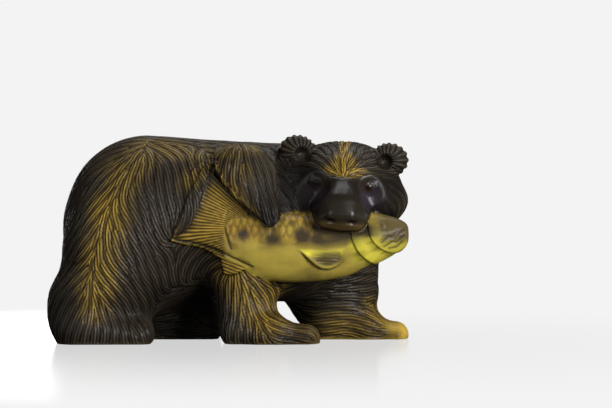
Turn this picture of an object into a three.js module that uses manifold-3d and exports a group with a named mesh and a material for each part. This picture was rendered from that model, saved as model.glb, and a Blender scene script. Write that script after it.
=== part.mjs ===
// A walking bear and the fish in its mouth, carved from one block of wood, in millimetres.
// +X is the way the bear walks, -Y its right side, where its head and the fish are turned,
// +Z is up. The form is a field of distances: rounded masses melted together, cut by hollows
// and carved with locks of fur. The field is meshed, thinned and cut flat under the feet.
import * as THREE from 'three';
import { mergeVertices } from 'three/addons/utils/BufferGeometryUtils.js';
import Module from 'manifold-3d';

// Driving dimensions
const BODY_LENGTH = 240;
const DRAWN_LENGTH = 235.7;
const SCALE = BODY_LENGTH / DRAWN_LENGTH;
const TRIANGLES = 9300;
const COARSE_STEP = 2.6;
const FINE_STEP = 1.35;
const FINE_FROM_X = -16;
const FINE_TO_Y = -26;
const FINE_FROM_Z = 42;
const SOLE_DEPTH = 5;
const ROOM = { x: [-124, 124], y: [-70, 56], z: 142 };
const LENGTH_COST = 2e-5;
const LEAST_TURN = 0.3;
const LEAST_AREA = 0.02;
const HAIR = 0.05;
const FACE_DETAIL = 5;
const FISH_DETAIL = 2;
const WOOD_COLOUR = 0x5c4a2a;

// Masses of the body: an ellipsoid has a centre and radii, a limb two ends with their radii
// and a flatness along Y, a block has a centre, half sizes and an edge radius.
const BACK = { from: [-53.5, 0, 82], to: [34, 2, 82.4], radii: [53.2, 46.5], flat: 0.87 };
const RUMP = { at: [-61.5, 0, 60], radii: [44.5, 46, 44] };
const CHEST = { at: [34, 6, 68], radii: [40, 40, 42] };
const FAR_SHOULDER = { at: [58, 20, 74], radii: [38, 26, 40] };
const NECK = { from: [24, 2, 83.8], to: [62, 0, 91.5], radii: [42, 36], flat: 0.95 };
const ARMPIT = { at: [-21, -64, 36], radii: [25, 28, 25] };
const FAR_ARMPIT = { at: [6, 64, 34], radii: [24, 26, 25] };
const MANE_LOCK = { from: [8, -30, 112], to: [27, -43, 83], radii: [17, 8], flat: 0.9 };

// Legs
const NEAR_THIGH = { at: [-75.5, -27, 50], radii: [31, 24, 44] };
const NEAR_HOCK = { from: [-94.6, -30, 27], to: [-94.6, -30, 19.5], radii: [21.6, 21.6], flat: 0.9 };
const NEAR_HIND_FOOT = { at: [-77, -31, 5], half: [29.5, 19, 9.5], edge: 9.2 };
const FAR_THIGH = { at: [-60, 26, 52], radii: [38, 22, 40] };
const FAR_SHIN = { at: [-42, 27, 36], radii: [36, 21, 34] };
const FAR_HIND_FOOT = { at: [-40, 29, 7], half: [34, 19, 11], edge: 9 };
const NEAR_FORELEG = { from: [14, -24, 58], to: [12.5, -28, 27], radii: [26, 19.5], flat: 0.88 };
const NEAR_WRIST = { at: [17, -30, 7], half: [21, 18.5, 9.5], edge: 9 };
const NEAR_PAW = { from: [24, -30, 4], to: [51, -30, 3], radii: [10.5, 9.5], flat: 1.9 };
const FAR_FORELEG = { from: [64, 22, 70], to: [68.5, 29, 33], radii: [36, 31.5], flat: 0.66 };
const FAR_WRIST = { at: [77, 29, 6], half: [24, 19, 10], edge: 9.5 };
const FAR_PAW = { from: [92, 29, 3], to: [111, 29, 2.5], radii: [8.5, 8.8], flat: 2.05 };
const TOE_PITCH = 8.5;
const TOE_GROOVE = 1.3;
const TOES_BELOW = 20;
const TOES_FADE = { back: 4, from: 4, to: 8 };
const PAWS = [
  { toes: -47, span: 20, middle: -31 },
  { toes: -8, span: 20, middle: 29 },
  { toes: 59, span: 18, middle: -30 },
  { toes: 119, span: 18, middle: 29 },
];

// The head, in its own frame: u to its left cheek, v out of the face, w up
const HEAD_AT = [75, -14, 102];
const HEAD_ROLL = THREE.MathUtils.degToRad(5);
const SKULL = { at: [0, -2, 1.5], radii: [37, 34, 28] };
const CHEEK = { at: [25, -2, -10], radii: [15, 24, 18] };
const BRIDGE = { from: [0, 23, 3], to: [0, 35, -14], radii: [8, 14.5], flat: 1 };
const MUZZLE = { at: [0, 30, -17], radii: [19, 19, 12.5] };
const SOCKET = { at: [20.5, 37, -3], radii: [10.5, 13, 13.5] };
const EYELID = { at: [16, 19.6, 0.6], radii: [8.5, 6.5, 7] };
const EYE = { at: [16, 22.6, 0.6], radii: [4.5, 5, 3.5] };
const NOSE = { at: [0, 45, -19.5], half: [10, 6.5, 5.4], edge: 4.5 };
const NOSTRIL = { at: [8, 51, -23.6], radii: [4.6, 4, 1.8] };
const LIP = { at: [0, 37.5, -22.5], half: [17, 9.5, 5.8], edge: 5.4 };
const RUFF = { at: [34.5, -3, -7], radii: [8.8, 12, 9] };
const EAR = { at: [30, 8, 19.2], radii: [12.4, 7, 11] };
const EAR_HOLLOW = { at: [27, 17.5, 17.8], radii: [5, 7, 5] };
const EAR_RIDGES = 20;
const EAR_RIDGE_DEPTH = 0.3;
const EAR_SHIFT = 1.4;

// The fish: its body runs along X from the tail root to the snout
const FISH = { tail: -4, snout: 115.5, depthAt: -39, tailDepthAt: -35, middleZ: 65.5 };
const FISH_HALF_HEIGHT = 19;
const FISH_BELLY = 3.5;
const FISH_HALF_WIDTH = 11;
const FISH_FLANK = 4;
const FISH_DROOP = 3.5;
const SNOUT_ROUNDING = 2.5;
const DROOP_LENGTH = 0.83;
const BELLY_LENGTH = 0.75;
const ROOT_TURN = { from: -5, to: 20 };
const ENDS = { snout: 4, tail: 8 };
const HEAD_LIFT = { height: 5, power: 1.5 };
const HEAD_TAPER = { starts: 0.66, length: 0.335, power: 1.1, narrowest: 0.35 };
const LEAST_FISH = { height: 3.5, width: 3 };
const SOFTENED = 0.9;
const SNOUT_CUT = { past: 1.5, edge: 2 };
const GILL_COVER = { at: [104, 74], radius: 24.5, step: 1.5 };
const CHEEK_PLATE = { at: [108, 76], radius: 17.5, step: 2.7 };
const SIDE_FIN_STEP = 1.6;
const SIDE_FIN_FADES = { x: [64, 76], z: [55, 61] };
const SIDE_FIN = [
  [47, 60.5], [52, 55.5], [57, 51], [61, 48.8], [66, 48.5], [72, 51], [75.5, 55], [74, 61],
];

// Outlines seen from the side, x then z: the tail fin that lies on the bear's shoulder and
// the leaf of shoulder fur that covers its end
const TAIL_STEP = 1.6;
const TAIL_FIN = [
  [-9, 119], [-7, 108], [1, 98], [8, 91], [14, 84], [14, 60], [12, 48], [5, 44.5], [-2, 45],
  [-4, 55], [-14, 61], [-36, 66], [-30, 80], [-20, 100],
];
const LEAF_STEP = 3;
const SHOULDER_LEAF = [
  [-9, 121], [-11.5, 110], [-14.5, 98], [-17.5, 88], [-22, 78], [-28, 71], [-37, 66],
  [-36, 76], [-33, 88], [-29, 104], [-20, 115],
];

// The lobe of mane hair that hangs over the fin and the fish, thinning out up the neck
const MANE_STEP = 3;
const MANE_THINS = { from: 108, to: 126 };
const MANE_LOBE = [
  [-8.4, 113.6], [-2.7, 103.4], [3.7, 95.1], [10.7, 88.7], [17.8, 83.6], [22.9, 78.5],
  [26.7, 75.4], [31, 75.6], [34.4, 80.4], [33, 92], [32, 104], [32, 140], [-9, 140],
];

// How softly neighbours melt together
const MELT = {
  body: 14, leg: 12, pit: 10, neck: 10, mane: 9, head: 4, cheek: 10, muzzle: 6, socket: 3,
  eyelid: 2, lip: 4, nose: 3, nostril: 1, ruff: 5, ear: 3, hollow: 2, fish: 1.5, step: 0.5,
};
const RIM = 1.5;
const PLATES_TO_Y = -14;
const PLATES_FROM_X = -48;
const PLATES_TO_X = 26;
const MANE_TO_X = 44;

// Locks of fur run like water from whorls (+) to the places where they gather (-),
// each with its x, z and strength, over an even run down the side.
const LOCK_DEPTH = 2.3;
const LOCK_WIDTH = 16;
const DOWNWARD_RUN = 1;
const LOCKS_RUN_OUT = { from: 4, to: 8 };
const LOCKS_ON_SIDE = { from: 12, to: 30 };
const LOCKS_BELOW = { from: 122, to: 132 };
const LOCKS_OFF_ENDS = { from: 102, to: 112 };
const LOCKS_OFF_HEAD = { from: 38, to: 46 };
const NEAR_WHORLS = [
  [-52.8, 132.3, 34], [-82.9, 31, 6], [-69.4, 92.6, 8], [-34.8, 68.2, -14], [-23.3, 28.5, -26],
  [4.9, 47.7, 34], [-13.7, 124.6, 10],
];
const FAR_WHORLS = [[-44, 130, 30], [-58, 60, 14], [10, 124, 16], [62, 78, 26], [10, 30, -24]];

function melt(a, b, k) {
  const h = Math.max(k - Math.abs(a - b), 0) / k;
  return Math.min(a, b) - h * h * k * 0.25;
}

function carve(a, b, k) {
  return -melt(-a, b, k);
}

function overlap(a, b, k) {
  return -melt(-a, -b, k);
}

function ease(from, to, x) {
  const t = Math.min(Math.max((x - from) / (to - from), 0), 1);
  return t * t * (3 - 2 * t);
}

function ellipsoid(x, y, z, { at, radii }) {
  const px = (x - at[0]) / radii[0];
  const py = (y - at[1]) / radii[1];
  const pz = (z - at[2]) / radii[2];
  const reach = Math.hypot(px, py, pz);
  const slope = Math.hypot(px / radii[0], py / radii[1], pz / radii[2]);
  return (reach * (reach - 1)) / Math.max(slope, 1e-6);
}

function limb(x, y, z, { from, to, radii, flat }) {
  const [bx, by, bz] = [to[0] - from[0], to[1] - from[1], to[2] - from[2]];
  const along = (x - from[0]) * bx + (y - from[1]) * by + (z - from[2]) * bz;
  const t = Math.min(Math.max(along / (bx * bx + by * by + bz * bz), 0), 1);
  const off = Math.hypot(x - from[0] - t * bx, (y - from[1] - t * by) / flat, z - from[2] - t * bz);
  return (off - (radii[0] + (radii[1] - radii[0]) * t)) * Math.min(1, flat);
}

function block(x, y, z, { at, half, edge }) {
  const qx = Math.abs(x - at[0]) - half[0] + edge;
  const qy = Math.abs(y - at[1]) - half[1] + edge;
  const qz = Math.abs(z - at[2]) - half[2] + edge;
  const outside = Math.hypot(Math.max(qx, 0), Math.max(qy, 0), Math.max(qz, 0));
  return outside + Math.min(Math.max(qx, qy, qz), 0) - edge;
}

function ellipseDistance(a, b, halfA, halfB) {
  const [pa, pb] = [a / halfA, b / halfB];
  const reach = Math.max(Math.hypot(pa, pb), 1e-3);
  return (reach * (reach - 1)) / Math.max(Math.hypot(pa / halfA, pb / halfB), 1e-6);
}

// Distance to a closed outline in the side plane, negative inside it
function outlineDistance(x, z, points) {
  let nearest = Infinity;
  let side = 1;
  points.forEach(([ax, az], i) => {
    const [bx, bz] = points[(i + points.length - 1) % points.length];
    const [ex, ez, wx, wz] = [bx - ax, bz - az, x - ax, z - az];
    const t = Math.min(Math.max((wx * ex + wz * ez) / (ex * ex + ez * ez), 0), 1);
    nearest = Math.min(nearest, Math.hypot(wx - ex * t, wz - ez * t));
    const tests = [z >= az, z < bz, ex * wz > ez * wx];
    if (tests.every(Boolean) || !tests.some(Boolean)) side = -side;
  });
  return side * nearest;
}

function torso(x, y, z) {
  let d = limb(x, y, z, BACK);
  d = melt(d, ellipsoid(x, y, z, RUMP), MELT.body);
  d = melt(d, ellipsoid(x, y, z, CHEST), MELT.body);
  d = melt(d, ellipsoid(x, y, z, FAR_SHOULDER), MELT.body);
  d = carve(d, ellipsoid(x, y, z, ARMPIT), MELT.pit);
  return carve(d, ellipsoid(x, y, z, FAR_ARMPIT), MELT.pit);
}

function nearHindLeg(x, y, z) {
  const thigh = melt(ellipsoid(x, y, z, NEAR_THIGH), limb(x, y, z, NEAR_HOCK), MELT.pit);
  return melt(thigh, block(x, y, z, NEAR_HIND_FOOT), MELT.mane);
}

function farHindLeg(x, y, z) {
  const thigh = melt(ellipsoid(x, y, z, FAR_THIGH), ellipsoid(x, y, z, FAR_SHIN), MELT.leg);
  return melt(thigh, block(x, y, z, FAR_HIND_FOOT), MELT.leg);
}

function nearForeleg(x, y, z) {
  const leg = melt(limb(x, y, z, NEAR_FORELEG), block(x, y, z, NEAR_WRIST), MELT.leg);
  return melt(leg, limb(x, y, z, NEAR_PAW), MELT.mane);
}

function farForeleg(x, y, z) {
  const leg = melt(limb(x, y, z, FAR_FORELEG), block(x, y, z, FAR_WRIST), MELT.leg);
  return melt(leg, limb(x, y, z, FAR_PAW), MELT.mane);
}

function headFrame(x, y, z) {
  const [dx, dz] = [x - HEAD_AT[0], z - HEAD_AT[2]];
  const [c, s] = [Math.cos(HEAD_ROLL), Math.sin(HEAD_ROLL)];
  return [dx * c - dz * s, HEAD_AT[1] - y, dx * s + dz * c];
}

function face(u, v, w) {
  const side = Math.abs(u);
  let d = melt(ellipsoid(u, v, w, SKULL), ellipsoid(side, v, w, CHEEK), MELT.cheek);
  d = melt(d, limb(u, v, w, BRIDGE), MELT.muzzle);
  d = melt(d, ellipsoid(u, v, w, MUZZLE), MELT.muzzle);
  d = carve(d, ellipsoid(side, v, w, SOCKET), MELT.socket);
  d = melt(d, ellipsoid(side, v, w, EYELID), MELT.eyelid);
  d = melt(d, ellipsoid(side, v, w, EYE), MELT.step);
  d = melt(d, block(u, v, w, LIP), MELT.lip);
  d = melt(d, block(u, v, w, NOSE), MELT.nose);
  d = carve(d, ellipsoid(side, v, w, NOSTRIL), MELT.nostril);
  return melt(d, ellipsoid(side, v, w, RUFF), MELT.ruff);
}

function ear(side, v, w) {
  const around = Math.atan2(w - EAR_HOLLOW.at[2], side - EAR_HOLLOW.at[0]);
  const ridges = EAR_RIDGE_DEPTH * Math.cos(EAR_RIDGES * around);
  return ellipsoid(side, v, w, EAR) + ridges;
}

function head(x, y, z) {
  const [u, v, w] = headFrame(x, y, z);
  const side = Math.abs(u + EAR_SHIFT);
  const d = melt(face(u, v, w), ear(side, v, w), MELT.ear);
  return carve(d, ellipsoid(side, v, w, EAR_HOLLOW), MELT.hollow);
}

function fishBody(x, y, z) {
  const length = FISH.snout + SNOUT_ROUNDING - FISH.tail;
  const t = Math.min(Math.max((x - FISH.tail) / length, 0), 1);
  const nose = Math.max(t - HEAD_TAPER.starts, 0) / HEAD_TAPER.length;
  const taper = Math.sqrt(Math.max(1 - nose ** HEAD_TAPER.power, 0));
  const droop = FISH_DROOP * Math.sin(Math.PI * Math.min(t / DROOP_LENGTH, 1));
  const midZ = FISH.middleZ - droop + HEAD_LIFT.height * nose ** HEAD_LIFT.power;
  const turned = ease(ROOT_TURN.to, ROOT_TURN.from, x);
  const midY = FISH.depthAt + (FISH.tailDepthAt - FISH.depthAt) * turned;
  const belly = FISH_BELLY * Math.sin(Math.PI * Math.min(t / BELLY_LENGTH, 1));
  const height = Math.max((FISH_HALF_HEIGHT + belly) * taper, LEAST_FISH.height);
  const flank = FISH_FLANK * Math.sin(Math.PI * t);
  const narrowed = HEAD_TAPER.narrowest + (1 - HEAD_TAPER.narrowest) * taper;
  const width = Math.max((FISH_HALF_WIDTH + flank) * narrowed, LEAST_FISH.width);
  const d = ellipseDistance(z - midZ, y - midY, height, width);
  return overlap(overlap(d, x - FISH.snout, ENDS.snout), FISH.tail - x, ENDS.tail) * SOFTENED;
}

// A thin plate standing a step above what is under it, inside a circle or outline
function plate(d, step, inside) {
  return melt(d, overlap(d - step, inside, RIM), MELT.step);
}

function fish(x, y, z) {
  const body = fishBody(x, y, z);
  const cover = Math.hypot(x - GILL_COVER.at[0], z - GILL_COVER.at[1]) - GILL_COVER.radius;
  const cheek = Math.hypot(x - CHEEK_PLATE.at[0], z - CHEEK_PLATE.at[1]) - CHEEK_PLATE.radius;
  const covered = plate(body, GILL_COVER.step, cover);
  const cheeked = melt(covered, overlap(body - CHEEK_PLATE.step, cheek, RIM), MELT.step);
  const { x: [fullX, endX], z: [fullZ, endZ] } = SIDE_FIN_FADES;
  const finStep = SIDE_FIN_STEP * ease(endX, fullX, x) * ease(endZ, fullZ, z);
  const fin = overlap(body - finStep, outlineDistance(x, z, SIDE_FIN), RIM);
  return overlap(melt(cheeked, fin, MELT.step), x - FISH.snout - SNOUT_CUT.past, SNOUT_CUT.edge);
}

// Phase and speed of the fur flow: every lock follows a line of equal phase
function furFlow(x, z, whorls) {
  let phase = DOWNWARD_RUN * x;
  let [across, down] = [0, DOWNWARD_RUN];
  for (const [wx, wz, strength] of whorls) {
    const square = (x - wx) ** 2 + (z - wz) ** 2 + 1;
    phase += strength * Math.atan2(x - wx, wz - z);
    across += (strength * (x - wx)) / square;
    down += (strength * (wz - z)) / square;
  }
  return { phase, speed: Math.hypot(across, down) };
}

// Locks too narrow to carve, close to a whorl, run out
function lockWave({ phase, speed }) {
  const breadth = ease(LOCKS_RUN_OUT.from, LOCKS_RUN_OUT.to, LOCK_WIDTH / speed);
  return breadth * (0.5 + 0.5 * Math.cos((2 * Math.PI * phase) / LOCK_WIDTH));
}

function locks(x, y, z) {
  const onSide = ease(LOCKS_ON_SIDE.from, LOCKS_ON_SIDE.to, Math.abs(y));
  const offEnds = ease(LOCKS_OFF_ENDS.to, LOCKS_OFF_ENDS.from, Math.abs(x));
  const side = onSide * offEnds * ease(LOCKS_BELOW.to, LOCKS_BELOW.from, z);
  if (side === 0) return 0;
  const fromHead = Math.hypot(...headFrame(x, y, z));
  const offHead = ease(LOCKS_OFF_HEAD.from, LOCKS_OFF_HEAD.to, fromHead);
  return side * offHead * lockWave(furFlow(x, z, y < 0 ? NEAR_WHORLS : FAR_WHORLS));
}

// Shallow grooves between the toes, on the front end of each paw
function toeGrooves(x, y, z) {
  let depth = 0;
  for (const { toes, span, middle } of PAWS) {
    const behind = ease(toes - span, toes - TOES_FADE.back, x);
    const ahead = ease(toes + TOES_FADE.to, toes + TOES_FADE.from, x);
    const across = (y - middle) / TOE_PITCH;
    const groove = (1 - Math.abs(Math.cos(Math.PI * across))) ** 2;
    if (Math.abs(across) < 2 && z < TOES_BELOW) depth += behind * ahead * groove;
  }
  return TOE_GROOVE * depth;
}

function furred(x, y, z) {
  let d = torso(x, y, z);
  for (const leg of [nearHindLeg, farHindLeg, nearForeleg, farForeleg]) {
    d = melt(d, leg(x, y, z), MELT.leg);
  }
  d = melt(d, limb(x, y, z, NECK), MELT.neck);
  d = melt(d, limb(x, y, z, MANE_LOCK), MELT.mane);
  return d + LOCK_DEPTH * locks(x, y, z) + toeGrooves(x, y, z);
}

// The tail fin and the leaf of fur over it lie on the right side only
function withPlates(d, x, y, z) {
  if (y > PLATES_TO_Y || x < PLATES_FROM_X || x > PLATES_TO_X) return d;
  const finned = plate(d, TAIL_STEP, outlineDistance(x, z, TAIL_FIN));
  return plate(finned, LEAF_STEP, outlineDistance(x, z, SHOULDER_LEAF));
}

function withManeLobe(d, x, y, z) {
  if (y > PLATES_TO_Y || x < PLATES_FROM_X || x > MANE_TO_X) return d;
  const step = MANE_STEP * ease(MANE_THINS.to, MANE_THINS.from, z);
  return plate(d, step, outlineDistance(x, z, MANE_LOBE));
}

function carving(x, y, z) {
  const bear = withPlates(melt(furred(x, y, z), head(x, y, z), MELT.head), x, y, z);
  return withManeLobe(melt(bear, fish(x, y, z), MELT.fish), x, y, z);
}

// Steps along one axis, finer in one stretch
function ruler(from, to, fineFrom, fineTo) {
  const marks = [from];
  while (marks[marks.length - 1] < to) {
    const last = marks[marks.length - 1];
    marks.push(last + (last >= fineFrom && last < fineTo ? FINE_STEP : COARSE_STEP));
  }
  return marks;
}

// Surface nets: one vertex in each grid cell that the surface crosses
function meshField(field) {
  const { x, y, z } = ROOM;
  const xs = ruler(...x, FINE_FROM_X, x[1]);
  const ys = ruler(...y, y[0], FINE_TO_Y);
  const zs = ruler(-2 * SOLE_DEPTH, z, FINE_FROM_Z, z);
  const [nx, ny, nz] = [xs.length, ys.length, zs.length];
  const at = (i, j, k) => (k * ny + j) * nx + i;
  const values = new Float32Array(nx * ny * nz);
  for (let k = 0; k < nz; k++) {
    const underSole = -SOLE_DEPTH / 2 - zs[k];
    for (let j = 0; j < ny; j++) {
      for (let i = 0; i < nx; i++) {
        values[at(i, j, k)] = overlap(field(xs[i], ys[j], zs[k]), underSole, 1);
      }
    }
  }
  unpinch(values, [nx, ny, nz], at);
  return netsFrom(values, [xs, ys, zs], at);
}

// Corners and edges of a grid cell
const CORNERS = [
  [0, 0, 0], [1, 0, 0], [0, 1, 0], [1, 1, 0], [0, 0, 1], [1, 0, 1], [0, 1, 1], [1, 1, 1],
];
const EDGES = [
  [0, 1], [2, 3], [4, 5], [6, 7], [0, 2], [1, 3], [4, 6], [5, 7], [0, 4], [1, 5], [2, 6], [3, 7],
];

// Whether the corners on each side of the surface hang together along the cell's edges
function hangsTogether(signs) {
  const group = [0, 1, 2, 3, 4, 5, 6, 7];
  for (let pass = 0; pass < 4; pass++) {
    for (const [a, b] of EDGES) {
      if (((signs >> a) & 1) !== ((signs >> b) & 1)) continue;
      group[a] = Math.min(group[a], group[b]);
      group[b] = group[a];
    }
  }
  return new Set(group).size <= 2;
}

// Takes off a hair of wood where the surface would pinch itself, so it stays one closed skin
function unpinch(values, [nx, ny, nz], at) {
  const sound = Array.from({ length: 256 }, (_, signs) => hangsTogether(signs));
  const steps = CORNERS.map(([a, b, c]) => at(a, b, c));
  let pinched = true;
  while (pinched) {
    pinched = false;
    for (let k = 0; k < nz - 1; k++) {
      for (let j = 0; j < ny - 1; j++) {
        for (let i = 0; i < nx - 1; i++) {
          const cell = at(i, j, k);
          const wooden = (step) => values[cell + step] < 0;
          const signs = steps.reduce((bits, step, c) => bits | (wooden(step) << c), 0);
          if (sound[signs]) continue;
          const inside = steps.filter(wooden);
          const thinnest = inside.reduce((a, b) => (values[cell + b] > values[cell + a] ? b : a));
          values[cell + thinnest] = HAIR;
          pinched = true;
        }
      }
    }
  }
}

function netsFrom(values, [xs, ys, zs], at) {
  const cellVertex = new Map();
  const points = [];
  const faces = [];
  const vertexOf = (i, j, k) => {
    const key = at(i, j, k);
    if (cellVertex.has(key)) return cellVertex.get(key);
    const sum = [0, 0, 0];
    let crossings = 0;
    for (const [a, b] of EDGES) {
      const [ca, cb] = [CORNERS[a], CORNERS[b]];
      const va = values[at(i + ca[0], j + ca[1], k + ca[2])];
      const vb = values[at(i + cb[0], j + cb[1], k + cb[2])];
      if (va < 0 === vb < 0) continue;
      const t = va / (va - vb);
      sum[0] += xs[i + ca[0]] + t * (xs[i + cb[0]] - xs[i + ca[0]]);
      sum[1] += ys[j + ca[1]] + t * (ys[j + cb[1]] - ys[j + ca[1]]);
      sum[2] += zs[k + ca[2]] + t * (zs[k + cb[2]] - zs[k + ca[2]]);
      crossings += 1;
    }
    points.push(sum[0] / crossings, sum[1] / crossings, sum[2] / crossings);
    cellVertex.set(key, points.length / 3 - 1);
    return points.length / 3 - 1;
  };
  // The four cells round a grid edge, in turn from one side direction to the other
  const ring = (i, j, k, p, q) => [
    vertexOf(i - p[0] - q[0], j - p[1] - q[1], k - p[2] - q[2]),
    vertexOf(i - q[0], j - q[1], k - q[2]),
    vertexOf(i, j, k),
    vertexOf(i - p[0], j - p[1], k - p[2]),
  ];
  const quad = (inside, a, b, c, d) => {
    if (inside) faces.push(a, b, c, a, c, d);
    else faces.push(a, c, b, a, d, c);
  };
  for (let k = 1; k < zs.length - 1; k++) {
    for (let j = 1; j < ys.length - 1; j++) {
      for (let i = 1; i < xs.length - 1; i++) {
        const here = values[at(i, j, k)] < 0;
        if (here !== values[at(i + 1, j, k)] < 0) {
          quad(here, ...ring(i, j, k, [0, 1, 0], [0, 0, 1]));
        }
        if (here !== values[at(i, j + 1, k)] < 0) {
          quad(here, ...ring(i, j, k, [0, 0, 1], [1, 0, 0]));
        }
        if (here !== values[at(i, j, k + 1)] < 0) {
          quad(here, ...ring(i, j, k, [1, 0, 0], [0, 1, 0]));
        }
      }
    }
  }
  return { points, faces };
}

// Where the carving is finest more triangles are kept: the face, the fish and its tail
function importance(x, y, z) {
  const [u, v, w] = headFrame(x, y, z);
  const onFace = 1 - ease(20, 44, Math.hypot(u, (v - BRIDGE.to[1]) * 0.7, w));
  const fishTop = FISH.middleZ + FISH_HALF_HEIGHT;
  const fishFoot = FISH.middleZ - FISH_HALF_HEIGHT - FISH_BELLY;
  const onFlank = ease(-30, -45, y) * ease(FISH.tail - 16, FISH.tail, x);
  const onFish = onFlank * ease(fishFoot - 6, fishFoot, z) * ease(fishTop + 6, fishTop, z);
  return 1 + FACE_DETAIL * onFace + FISH_DETAIL * onFish;
}

function addQuadric(quadrics, vertex, [a, b, c, d], weight) {
  const terms = [a * a, a * b, a * c, a * d, b * b, b * c, b * d, c * c, c * d, d * d];
  for (let i = 0; i < 10; i++) quadrics[vertex * 10 + i] += weight * terms[i];
}

function quadricError(q, x, y, z) {
  const square = q[0] * x * x + q[4] * y * y + q[7] * z * z;
  const mixed = q[1] * x * y + q[2] * x * z + q[5] * y * z;
  return square + 2 * mixed + 2 * (q[3] * x + q[6] * y + q[8] * z) + q[9];
}

// The point of least error, or null where the surface is too flat to say
function bestPoint(q) {
  const matrix = new THREE.Matrix3().set(q[0], q[1], q[2], q[1], q[4], q[5], q[2], q[5], q[7]);
  const scale = q[0] + q[4] + q[7];
  if (Math.abs(matrix.determinant()) < 1e-4 * scale ** 3) return null;
  return new THREE.Vector3(-q[3], -q[6], -q[8]).applyMatrix3(matrix.invert()).toArray();
}

class Heap {
  constructor() {
    this.items = [];
  }

  push(item) {
    const { items } = this;
    let at = items.push(item) - 1;
    while (at > 0) {
      const parent = (at - 1) >> 1;
      if (items[parent].cost <= item.cost) break;
      items[at] = items[parent];
      at = parent;
    }
    items[at] = item;
  }

  pop() {
    const { items } = this;
    const top = items[0];
    const last = items.pop();
    const size = items.length;
    if (size === 0) return top;
    let at = 0;
    for (;;) {
      let child = 2 * at + 1;
      if (child >= size) break;
      if (child + 1 < size && items[child + 1].cost < items[child].cost) child += 1;
      if (items[child].cost >= last.cost) break;
      items[at] = items[child];
      at = child;
    }
    items[at] = last;
    return top;
  }
}

function normalOf(a, b, c) {
  const [ux, uy, uz] = [b[0] - a[0], b[1] - a[1], b[2] - a[2]];
  const [vx, vy, vz] = [c[0] - a[0], c[1] - a[1], c[2] - a[2]];
  return [uy * vz - uz * vy, uz * vx - ux * vz, ux * vy - uy * vx];
}

function dot(a, b) {
  return a[0] * b[0] + a[1] * b[1] + a[2] * b[2];
}

function inThrees(list) {
  return Array.from({ length: list.length / 3 }, (_, i) => list.slice(3 * i, 3 * i + 3));
}

// Thins a closed mesh by collapsing the edge that moves the surface least, again and again
class Thinner {
  constructor({ points, faces }) {
    this.count = faces.length / 3;
    this.faces = inThrees(faces);
    this.points = inThrees(points);
    this.around = this.points.map(() => new Set());
    this.stamps = new Int32Array(this.points.length);
    this.quadrics = new Float64Array(10 * this.points.length);
    this.heap = new Heap();
    this.faces.forEach((face, f) => this.addFace(face, f));
    this.faces.forEach(([a, b, c]) => {
      for (const [p, q] of [[a, b], [b, c], [c, a]]) {
        if (p < q) this.weigh(p, q);
      }
    });
  }

  addFace(face, f) {
    const corners = face.map((v) => this.points[v]);
    const normal = normalOf(...corners);
    const size = Math.hypot(...normal);
    const plane = [...normal.map((n) => n / size), -dot(normal, corners[0]) / size];
    const weight = size * importance(...corners[0]);
    for (const v of face) {
      this.around[v].add(f);
      addQuadric(this.quadrics, v, plane, weight);
    }
  }

  quadricOf(a, b) {
    const own = this.quadrics.slice(10 * a, 10 * a + 10);
    return own.map((value, i) => value + this.quadrics[10 * b + i]);
  }

  weigh(a, b) {
    const q = this.quadricOf(a, b);
    const [pa, pb] = [this.points[a], this.points[b]];
    const middle = pa.map((value, i) => (value + pb[i]) / 2);
    const length = Math.hypot(pa[0] - pb[0], pa[1] - pb[1], pa[2] - pb[2]);
    const best = bestPoint(q);
    const near = best && Math.hypot(...best.map((value, i) => value - middle[i])) < 1.5 * length;
    const place = near ? best : middle;
    const cost = Math.max(quadricError(q, ...place), 0) + LENGTH_COST * length ** 4;
    this.heap.push({ cost, a, b, place, stamp: this.stamps[a] + this.stamps[b] });
  }

  neighbours(v) {
    const found = new Set();
    for (const f of this.around[v]) {
      for (const w of this.faces[f]) found.add(w);
    }
    found.delete(v);
    return found;
  }

  flips(v, other, place) {
    for (const f of this.around[v]) {
      const face = this.faces[f];
      if (face.includes(other)) continue;
      const before = normalOf(...face.map((w) => this.points[w]));
      const after = normalOf(...face.map((w) => (w === v ? place : this.points[w])));
      const sizes = Math.hypot(...before) * Math.hypot(...after);
      if (dot(before, after) < LEAST_TURN * sizes || Math.hypot(...after) < LEAST_AREA) return true;
    }
    return false;
  }

  collapse({ a, b, place }) {
    const beside = this.neighbours(b);
    const shared = [...this.neighbours(a)].filter((v) => beside.has(v));
    if (shared.length !== 2 || this.flips(a, b, place) || this.flips(b, a, place)) return;
    this.quadrics.set(this.quadricOf(a, b), 10 * a);
    this.points[a] = place;
    for (const f of this.around[b]) {
      const face = this.faces[f];
      if (face.includes(a)) {
        for (const v of face) {
          if (v !== b) this.around[v].delete(f);
        }
        this.faces[f] = null;
        this.count -= 1;
      } else {
        face[face.indexOf(b)] = a;
        this.around[a].add(f);
      }
    }
    this.around[b].clear();
    this.stamps[a] += 1;
    this.stamps[b] = -1e9;
    for (const v of this.neighbours(a)) {
      this.stamps[v] += 1;
    }
    for (const v of this.neighbours(a)) {
      for (const w of this.neighbours(v)) {
        if (w === a || v < w) this.weigh(Math.min(v, w), Math.max(v, w));
      }
    }
  }

  thinTo(target) {
    while (this.count > target && this.heap.items.length > 0) {
      const edge = this.heap.pop();
      if (edge.stamp === this.stamps[edge.a] + this.stamps[edge.b]) this.collapse(edge);
    }
    return { points: this.points.flat(), faces: this.faces.filter(Boolean).flat() };
  }
}

function toGeometry(points, faces) {
  const geometry = new THREE.BufferGeometry();
  geometry.setAttribute('position', new THREE.Float32BufferAttribute(points, 3));
  geometry.setIndex(faces);
  return geometry;
}

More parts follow.
